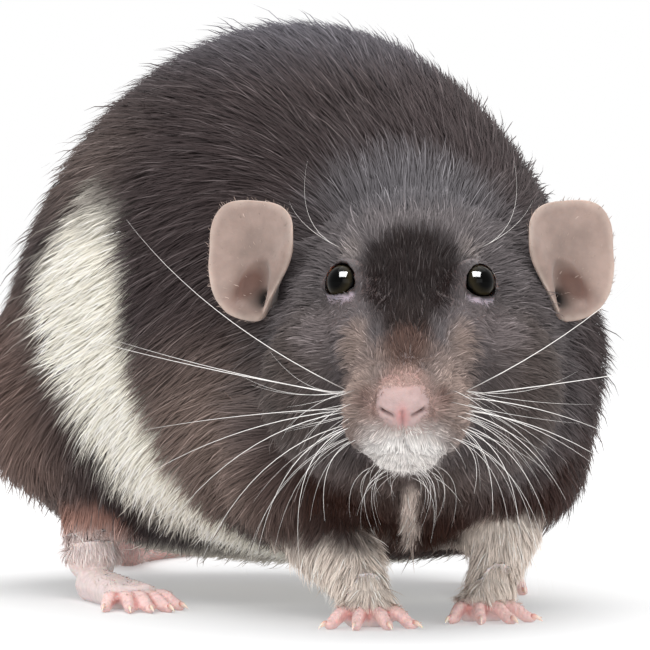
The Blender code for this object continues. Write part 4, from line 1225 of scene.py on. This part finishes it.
    # Colour chance, soft normals and the patch of the bake map at the root
    strands = keep(strands, "strand", "FLOAT", by_length)
    strands = keep(strands, "soft_normal", "FLOAT_VECTOR",
                   vectors("NORMALIZE", vectors("ADD", times(facing, OWN_NORMAL), normal)))
    patch = node("ShaderNodeCombineXYZ", {
        "X": product(across, BAKE_PATCH[0]), "Y": product(value("SUBTRACT", t, 0.5), BAKE_PATCH[1])})[0]
    on_map = vectors("ADD", named("root_uv", "FLOAT_VECTOR"), patch)
    strands = keep(strands, "OFBake", "FLOAT2", on_map, "CORNER")
    for name in ("root", "clump", "chance_a", "chance_b", "across", "skin_normal", "lie", "coat_length",
                 "coat_density", "root_uv", "skin_colour"):
        strands = node("GeometryNodeRemoveAttribute", {"Geometry": strands, "Name": name})[0]
    return finish_tree(tree, strands, given["Finish"])


def coat_finish():
    """Hair: darker at the root, paler at the tip, and a little different from strand to strand."""
    made, tree = start_finish("soft hair", {"Roughness": 0.62, "Specular IOR Level": 0.09})
    strand = kept(tree, "strand")
    level = ranged(tree, kept(tree, "along"), 0, 1, *ROOT_TO_TIP)
    level = number(tree, "MULTIPLY", level, ranged(tree, strand, 0, 1, *STRAND_TO_STRAND))
    # A few hairs are paler still
    ticked = scaled(tree, kept(tree, "coat_colour", "Color"), level)
    ticked = scaled(tree, ticked, ranged(tree, strand, *PALEST_STRANDS))
    ticked = vector(tree, "ADD", ticked, ranged(tree, strand, *GLINTS))
    return finished(made, vector(tree, "MINIMUM", ticked, LIGHTEST))


def unwrapped(obj):
    """Unwraps an object by its own shape, and keeps the map as a vector at each vertex."""
    bpy.context.view_layer.objects.active = obj
    obj.select_set(True)
    bpy.ops.object.mode_set(mode="EDIT")
    bpy.ops.mesh.select_all(action="SELECT")
    bpy.ops.uv.smart_project(angle_limit=math.radians(70), island_margin=0.004)
    bpy.ops.object.mode_set(mode="OBJECT")
    obj.select_set(False)
    mesh = obj.data
    corner = np.empty(len(mesh.loops), np.int32)
    mesh.loops.foreach_get("vertex_index", corner)
    place = np.zeros((len(mesh.vertices), 3))
    place[corner, :2] = read_rows(mesh.uv_layers.active.uv, width=2)
    mesh.uv_layers.remove(mesh.uv_layers.active)
    store(mesh, "root_uv", "FLOAT_VECTOR", place)


def bald_share(points):
    """0 where no coat grows, 1 elsewhere."""
    middle, radii = BALD_NOSE
    offset = in_frame(points, HEAD) - middle
    share = smooth_step(lengths(offset / radii), *BALD_EDGE)
    for side_name in SIDES:
        on_eye = on_opening(points, side_name)
        share *= np.where(on_eye[:, 1] > 0, smooth_step(from_opening(on_eye), *BALD_LIDS), 1)
    return share


def prepare_for_coat(mesh, length, lie, density):
    """Keeps on a mesh what the coat's strands read."""
    normal = normals(mesh)
    lie = lie - normal * (lie * normal).sum(1)[:, None]
    lie /= np.maximum(lengths(lie), 1e-9)[:, None]
    store(mesh, "lie", "FLOAT_VECTOR", lie)
    store(mesh, "skin_normal", "FLOAT_VECTOR", normal)
    store(mesh, "coat_length", "FLOAT", length * MM)
    store(mesh, "coat_density", "FLOAT", density)


def zone_meshes(mesh):
    """The skin's mesh parted among the zones, each point going with the nearest middle."""
    at = places(mesh)
    middles = np.array([place @ Vector(middle) for place, middle in ZONES.values()])
    nearest = ((at[:, None, :] - middles) ** 2).sum(2).argmin(1)
    for k, name in enumerate(ZONES):
        held = bmesh.new()
        held.from_mesh(mesh)
        held.verts.ensure_lookup_table()
        away = [face for face in held.faces if nearest[face.verts[0].index] != k]
        bmesh.ops.delete(held, geom=away, context="FACES")
        if held.faces:
            yield name, linked_object("under_coat_" + name, held)


COAT_TREE = coat_tree()
COAT_FINISH = coat_finish()


def coat_over(name, under, **settings):
    """Grows a coat over one mesh, and adds it to the rat as a piece of its own."""
    unwrapped(under)
    mesh = grown(under, COAT_TREE, {**settings, "Seed": len(name) * 7 + ord(name[-1]), "Finish": COAT_FINISH})
    bpy.data.objects.remove(under)
    piece = linked_object("coat_" + name, mesh)
    soft_normals = read_rows(mesh.attributes["soft_normal"].data)
    mesh.attributes.remove(mesh.attributes["soft_normal"])
    on_floor = places(mesh)
    on_floor[:, 2] = np.maximum(on_floor[:, 2], LOWEST_HAIR * MM)
    move_to(mesh, on_floor)
    dress(piece, COAT_FINISH, "coat_grey")
    mesh.normals_split_custom_set_from_vertices(soft_normals)


at = places(skin.data)
length, lie = coat_at(at)
density = np.clip(STRANDS_AT_1MM / (length + DENSITY_EASE), LEAST_STRANDS, MOST_STRANDS) * bald_share(at)
downward = smooth_step(-normals(skin.data)[:, 2], 0.4, 0.8) * smooth_step(length, 4.0, 5.5)
density *= 1 - (1 - UNDERSIDE_STRANDS) * downward
coated = skin.data.copy()
move_to(coated, in_frame(bent(in_frame(at, HEAD)), HEAD.inverted()))
move_to(skin.data, places(coated))
prepare_for_coat(coated, length, lie, density)
for name, under in zone_meshes(coated):
    coat_over(name, under, Strands=1.0)

# Thin short hair on the ears, the backs of the feet and the tail
EAR_HAIR, TOE_HAIR, WRIST_HAIR, TAIL_HAIR = 0.7, 0.9, {"fore": 3.2, "hind": 2.2}, 1.7
EAR_HAIR_COLOUR, TOE_HAIR_COLOUR, TAIL_HAIR_COLOUR = (166, 148, 138), (232, 208, 198), (190, 176, 170)
# Between which heights of a foot the hair of the leg thickens
LEG_HAIR_FROM = {"fore": (2.6, 4.6), "hind": (5.4, 8.0)}
LEG_HAIR_DENSITY, LEAST_DENSITY = 17, 0.05


def thin_coat(name, source, colour, length, lie, density):
    """Grows short sparse hair over the part of a piece's mesh where there is any."""
    mesh = source.data.copy()
    store(mesh, "coat_colour", "FLOAT_COLOR", colour)
    prepare_for_coat(mesh, length, lie, density)
    held = bmesh.new()
    held.from_mesh(mesh)
    bare = [face for face in held.faces if density[face.verts[0].index] <= LEAST_DENSITY]
    bmesh.ops.delete(held, geom=bare, context="FACES")
    coat_over(name, linked_object("under_hair_" + name, held), Clumping=0.1, Width=0.00014)


for side_name, ear in ears.items():
    at = places(ear.data)
    root = HEAD @ Vector((SIDES[side_name] * 20, 20, -3))
    facing = in_frame(normals(ear.data), HEAD.to_3x3().normalized().to_4x4())
    behind = smooth_step(facing[:, 1], -0.2, 0.3)
    thin_coat("ear_" + side_name, ear, plain(at, EAR_HAIR_COLOUR), EAR_HAIR * (0.8 + 0.5 * behind),
              at - np.array(root), 0.3 + 2.4 * behind)
for node, foot in feet.items():
    _, heading, kind, _ = FEET[node]
    height = in_frame(places(foot.data), BODY)[:, 2]
    on_top = smooth_step(height, 1.4, 2.0) * smooth_step(normals(foot.data)[:, 2], 0.1, 0.6)
    up_leg = smooth_step(height, *LEG_HAIR_FROM[kind])
    density = LEG_HAIR_DENSITY * up_leg + 2.0 * on_top
    ahead = np.array((math.sin(math.radians(heading)), -math.cos(math.radians(heading)), 0))
    lie = ahead * (1 - 0.8 * up_leg[:, None]) + (0, 0, -0.25) - 0.7 * up_leg[:, None] * (0, 0, 1)
    colour = mixed(plain(height, LEG_CREAM), TOE_HAIR_COLOUR, 1 - up_leg)
    if kind == "hind":
        colour = mixed(plain(height, HEEL_COLOUR), SHANK_COLOUR, smooth_step(height, 12.0, 15.0))
        density *= 0.6
    thin_coat(node, foot, colour, TOE_HAIR + (WRIST_HAIR[kind] - TOE_HAIR) * up_leg, lie, density)
at = places(tail.data)
thin_coat("tail", tail, plain(at, TAIL_HAIR_COLOUR), np.full(len(at), TAIL_HAIR),
          read_rows(tail.data.attributes["towards_tip"].data), 1.6 * (at[:, 2] > 0.3 * MM))

# Whiskers
# White tactile hairs in rows on the whisker pads, some as long as the head, with a few above each eye
# and fine short ones on the lips and the chin. Each is a tapering hair that bows under its weight.

# Ends of the main whiskers from the point midway between the eyes, top row to bottom row
WHISKER_ENDS = {
    "right": ((-43.0, -4.0, 10.0), (-57.0, 0.0, -6.0), (-45.0, -8.0, -8.0), (-40.0, -12.0, -22.0),
              (-43.0, -8.0, -31.0), (-37.0, -14.0, -38.0), (-31.0, -18.0, -42.0), (-22.0, -20.0, -40.0),
              (-15.5, -22.0, -42.0), (-12.0, -24.0, -35.0)),
    "left": ((43.0, -4.0, 10.0), (52.0, 0.0, -10.0), (34.0, -10.0, -24.0), (28.0, -14.0, -27.0),
             (36.0, -8.0, -31.0), (24.0, -18.0, -32.0), (21.0, -18.0, -36.0), (17.0, -20.0, -39.0),
             (13.0, -22.0, -34.0), (10.0, -24.0, -31.0)),
}
WHISKER_THICKNESS, WHISKER_TAPER = 0.075, 0.86
WHISKER_STEPS, WHISKER_SIDES = 14, 5
# How many short whiskers and lip hairs a side has, and the shares of the thickness for them and the brow's
SHORT_WHISKERS, LIP_HAIRS = 26, 16
SHORT_SHARE, LIP_SHARE, BROW_SHARE = 0.55, 0.42, 0.45


def whisker_tree():
    """Round tapering hairs along the edges of a mesh, as thick as its attribute says."""
    tree, given = new_tree("whisker hairs", {"Paths": ("Geometry", None), "Finish": ("Material", None)})
    radius = add(tree, "GeometryNodeInputNamedAttribute", {"Name": "thickness"}, data_type="FLOAT")[0]
    paths = add(tree, "GeometryNodeMeshToCurve", {"Mesh": given["Paths"]})[0]
    outline = add(tree, "GeometryNodeCurvePrimitiveCircle", {"Resolution": WHISKER_SIDES, "Radius": 1.0})[0]
    hairs = add(tree, "GeometryNodeCurveToMesh", {"Curve": paths, "Profile Curve": outline,
                                                  "Scale": radius, "Fill Caps": True})[0]
    hairs = add(tree, "GeometryNodeRealizeInstances", {"Geometry": hairs})[0]
    return finish_tree(tree, hairs, given["Finish"])


def bowed(root, end, lift):
    """Points of a hair from its root to its end, bowed by its weight."""
    root, end = np.array(root, float), np.array(end, float)
    reach = np.sqrt(((end - root) ** 2).sum())
    bow = root + np.array((math.copysign(0.5, end[0] - root[0]) * reach, -0.12 * reach, lift))
    t = np.linspace(0, 1, WHISKER_STEPS)[:, None]
    return root * (1 - t) ** 2 + bow * 2 * t * (1 - t) + end * t ** 2


def whisker_lines(side_name, draw):
    """All the hairs of one side: points in the head's millimetres, and the thickness at the root."""
    side = SIDES[side_name]
    for k, end in enumerate(WHISKER_ENDS[side_name]):
        row, column = divmod(k, 3)
        root = (side * (7.6 - 0.9 * row), -12.0 - 2.6 * column - 0.6 * row, -16.7 - 1.9 * row)
        fall = end[2] - root[2]
        yield bowed(root, end, 0.4 * fall if fall > 0 else 0.1 * fall), WHISKER_THICKNESS
    for k in range(SHORT_WHISKERS):
        row = k % 5
        root = np.array((side * (7.4 - 0.7 * row), -11.0 - draw.uniform(0, 9.5), -15.6 - 1.6 * row))
        reach = draw.uniform(9, 24)
        spread = draw.uniform(-0.5, 0.3) - 0.18 * row
        end = root + reach * np.array((side * draw.uniform(0.5, 0.9), draw.uniform(-0.1, 0.5), spread))
        yield bowed(root, end, -1.0 - 0.06 * reach), WHISKER_THICKNESS * SHORT_SHARE
    for _ in range(LIP_HAIRS):
        root = np.array((side * draw.uniform(0.5, 5.0), -20.5 + draw.uniform(0, 7),
                         -25.6 - draw.uniform(0, 3)))
        end = root + np.array((side * draw.uniform(0.5, 5), draw.uniform(-2, 3), -draw.uniform(4, 10)))
        yield bowed(root, end, -1.5), WHISKER_THICKNESS * LIP_SHARE
    for end in ((16, 4, 19), (19, 8, 13)):
        brow_hair = bowed((side * 10.5, 1.5, 5.4), (side * end[0], end[1], end[2]), 3.0)
        yield brow_hair, WHISKER_THICKNESS * BROW_SHARE


def whisker_finish():
    """White, half-clear hair, greyer at the root."""
    made, tree = start_finish("white whisker", {
        "Roughness": 0.32, "Specular IOR Level": 0.6, "Subsurface Weight": 0.1, "Sheen Weight": 0.2})
    along = number(tree, "MULTIPLY_ADD", grain(tree, 300, 2), 0.15, kept(tree, "along"))
    return finished(made, ramp(tree, along, (0.10, srgb((92, 80, 74))), (0.22, srgb((232, 228, 224)))))


WHISKER_TREE = whisker_tree()
WHISKER_FINISH = whisker_finish()
for side_name in SIDES:
    draw = np.random.default_rng(31 + SIDES[side_name])
    points, edges, thickness, along = [], [], [], []
    for line, thick in whisker_lines(side_name, draw):
        start = len(points)
        line = line + (bent(line) - line)[0]
        points += [HEAD @ Vector(point) for point in line]
        edges += [(start + k, start + k + 1) for k in range(WHISKER_STEPS - 1)]
        shares = np.linspace(0, 1, WHISKER_STEPS)
        along += shares.tolist()
        thickness += (thick * MM * (1 - WHISKER_TAPER * shares ** 1.2)).tolist()
    paths = bpy.data.meshes.new("paths")
    paths.from_pydata(points, edges, [])
    store(paths, "thickness", "FLOAT", np.array(thickness))
    store(paths, "along", "FLOAT", np.array(along))
    roots = linked_object("whisker_paths", paths)
    mesh = grown(roots, WHISKER_TREE, {"Finish": WHISKER_FINISH})
    bpy.data.objects.remove(roots)
    dress(linked_object("whiskers_" + side_name, mesh), WHISKER_FINISH, "coat_cream")

# Floor, light and camera
# A white floor under soft, even studio light, which glows faintly with painted light and is painted darker
# round the rat, and a long lens at the height of the rat's chest.

# The strength of the table's glow is painted light: the floor gives off light though it is no lamp
FLOOR_RADIUS, FLOOR_SEGMENTS, TABLE_GLOW = 4.0, 96, 0.30
# The floor's colour is darkest under the rat, a painted shade: between which distances it pales, and from what
# to what
PALE_FROM, PALE_TO, FLOOR_SHADE_TONES = 0.25, 0.9, (0.53, 0.69)
# The camera's place from the eyes in metres, its heading and pitch, and its lens and sensor in millimetres
EYE_LEVEL, CAMERA_AWAY, CAMERA_ASIDE = 0.046, 0.6, 0.01315
VIEW_TURN, VIEW_TILT = math.radians(-28), math.radians(0.088)
LENS, SENSOR, NEAREST_SEEN = 216, 36, 0.01

floor = bmesh.new()
bmesh.ops.create_circle(floor, cap_ends=True, segments=FLOOR_SEGMENTS, radius=FLOOR_RADIUS)
floor = linked_object("floor", floor)
FLOOR_FINISH, tree = start_finish("white table with painted glow", {
    "Roughness": 0.7, "Emission Color": (1, 1, 1, 1), "Emission Strength": TABLE_GLOW})
tone = ramp(tree, grain(tree, 60, 4), (0, (0.96, 0.96, 0.97)), (1, (1, 1, 1)))
from_rat = add(tree, "ShaderNodeVectorMath", {0: object_place(tree)}, operation="LENGTH")["Value"]
# Painted shade: the floor's colour darkens towards the rat
paler = ranged(tree, from_rat, PALE_FROM, PALE_TO, *FLOOR_SHADE_TONES, interpolation_type="SMOOTHSTEP")
floor.data.materials.append(finished(FLOOR_FINISH, scaled(tree, tone, paler)))

world = bpy.data.worlds.new("white room")
world.use_nodes = True
for socket, value in {"Color": (1, 1, 1, 1), "Strength": 1.0}.items():
    world.node_tree.nodes["Background"].inputs[socket].default_value = value
bpy.context.scene.world = world
bpy.context.scene.view_settings.view_transform = "Standard"

VIEW_ACROSS = Vector((math.cos(VIEW_TURN), math.sin(VIEW_TURN), 0))
VIEW_AHEAD = Vector((-math.sin(VIEW_TURN), math.cos(VIEW_TURN), 0))
# Soft boxes: across, ahead of the camera's axis and up from the eyes in metres, size, power in watts
LIGHTS = {
    "window": (-0.20, -0.70, 0.80, 0.6, 4.0),
    "sky": (0.10, 0.20, 1.1, 1.1, 8.5),
    "low fill": (0.15, -0.75, 0.03, 0.5, 2.4),
    "catchlight": (-0.06, -0.50, 0.76, 0.68, 300.0),
}
for name, (across, ahead, up, size, power) in LIGHTS.items():
    light = linked_object(name, bpy.data.lights.new(name, "AREA"))
    set_on(light.data, shape="SQUARE", size=size, energy=power)
    light.location = BETWEEN_EYES + VIEW_ACROSS * across + VIEW_AHEAD * ahead + Vector((0, 0, up))
    light.rotation_euler = (BETWEEN_EYES - light.location).to_track_quat("-Z", "Y").to_euler()
lit_eyes = bpy.data.collections.new("lit eyes")
for ball in eye_balls:
    lit_eyes.objects.link(ball)
bpy.data.objects["catchlight"].light_linking.receiver_collection = lit_eyes
bpy.data.objects["catchlight"].visible_diffuse = False

camera = linked_object("camera", bpy.data.cameras.new("camera"))
camera.location = BETWEEN_EYES - VIEW_ACROSS * CAMERA_ASIDE - VIEW_AHEAD * CAMERA_AWAY
camera.location.z = EYE_LEVEL
camera.rotation_euler = (math.radians(90) + VIEW_TILT, 0, VIEW_TURN)
set_on(camera.data, sensor_width=SENSOR, lens=LENS, clip_start=NEAREST_SEEN)
bpy.context.scene.camera = camera
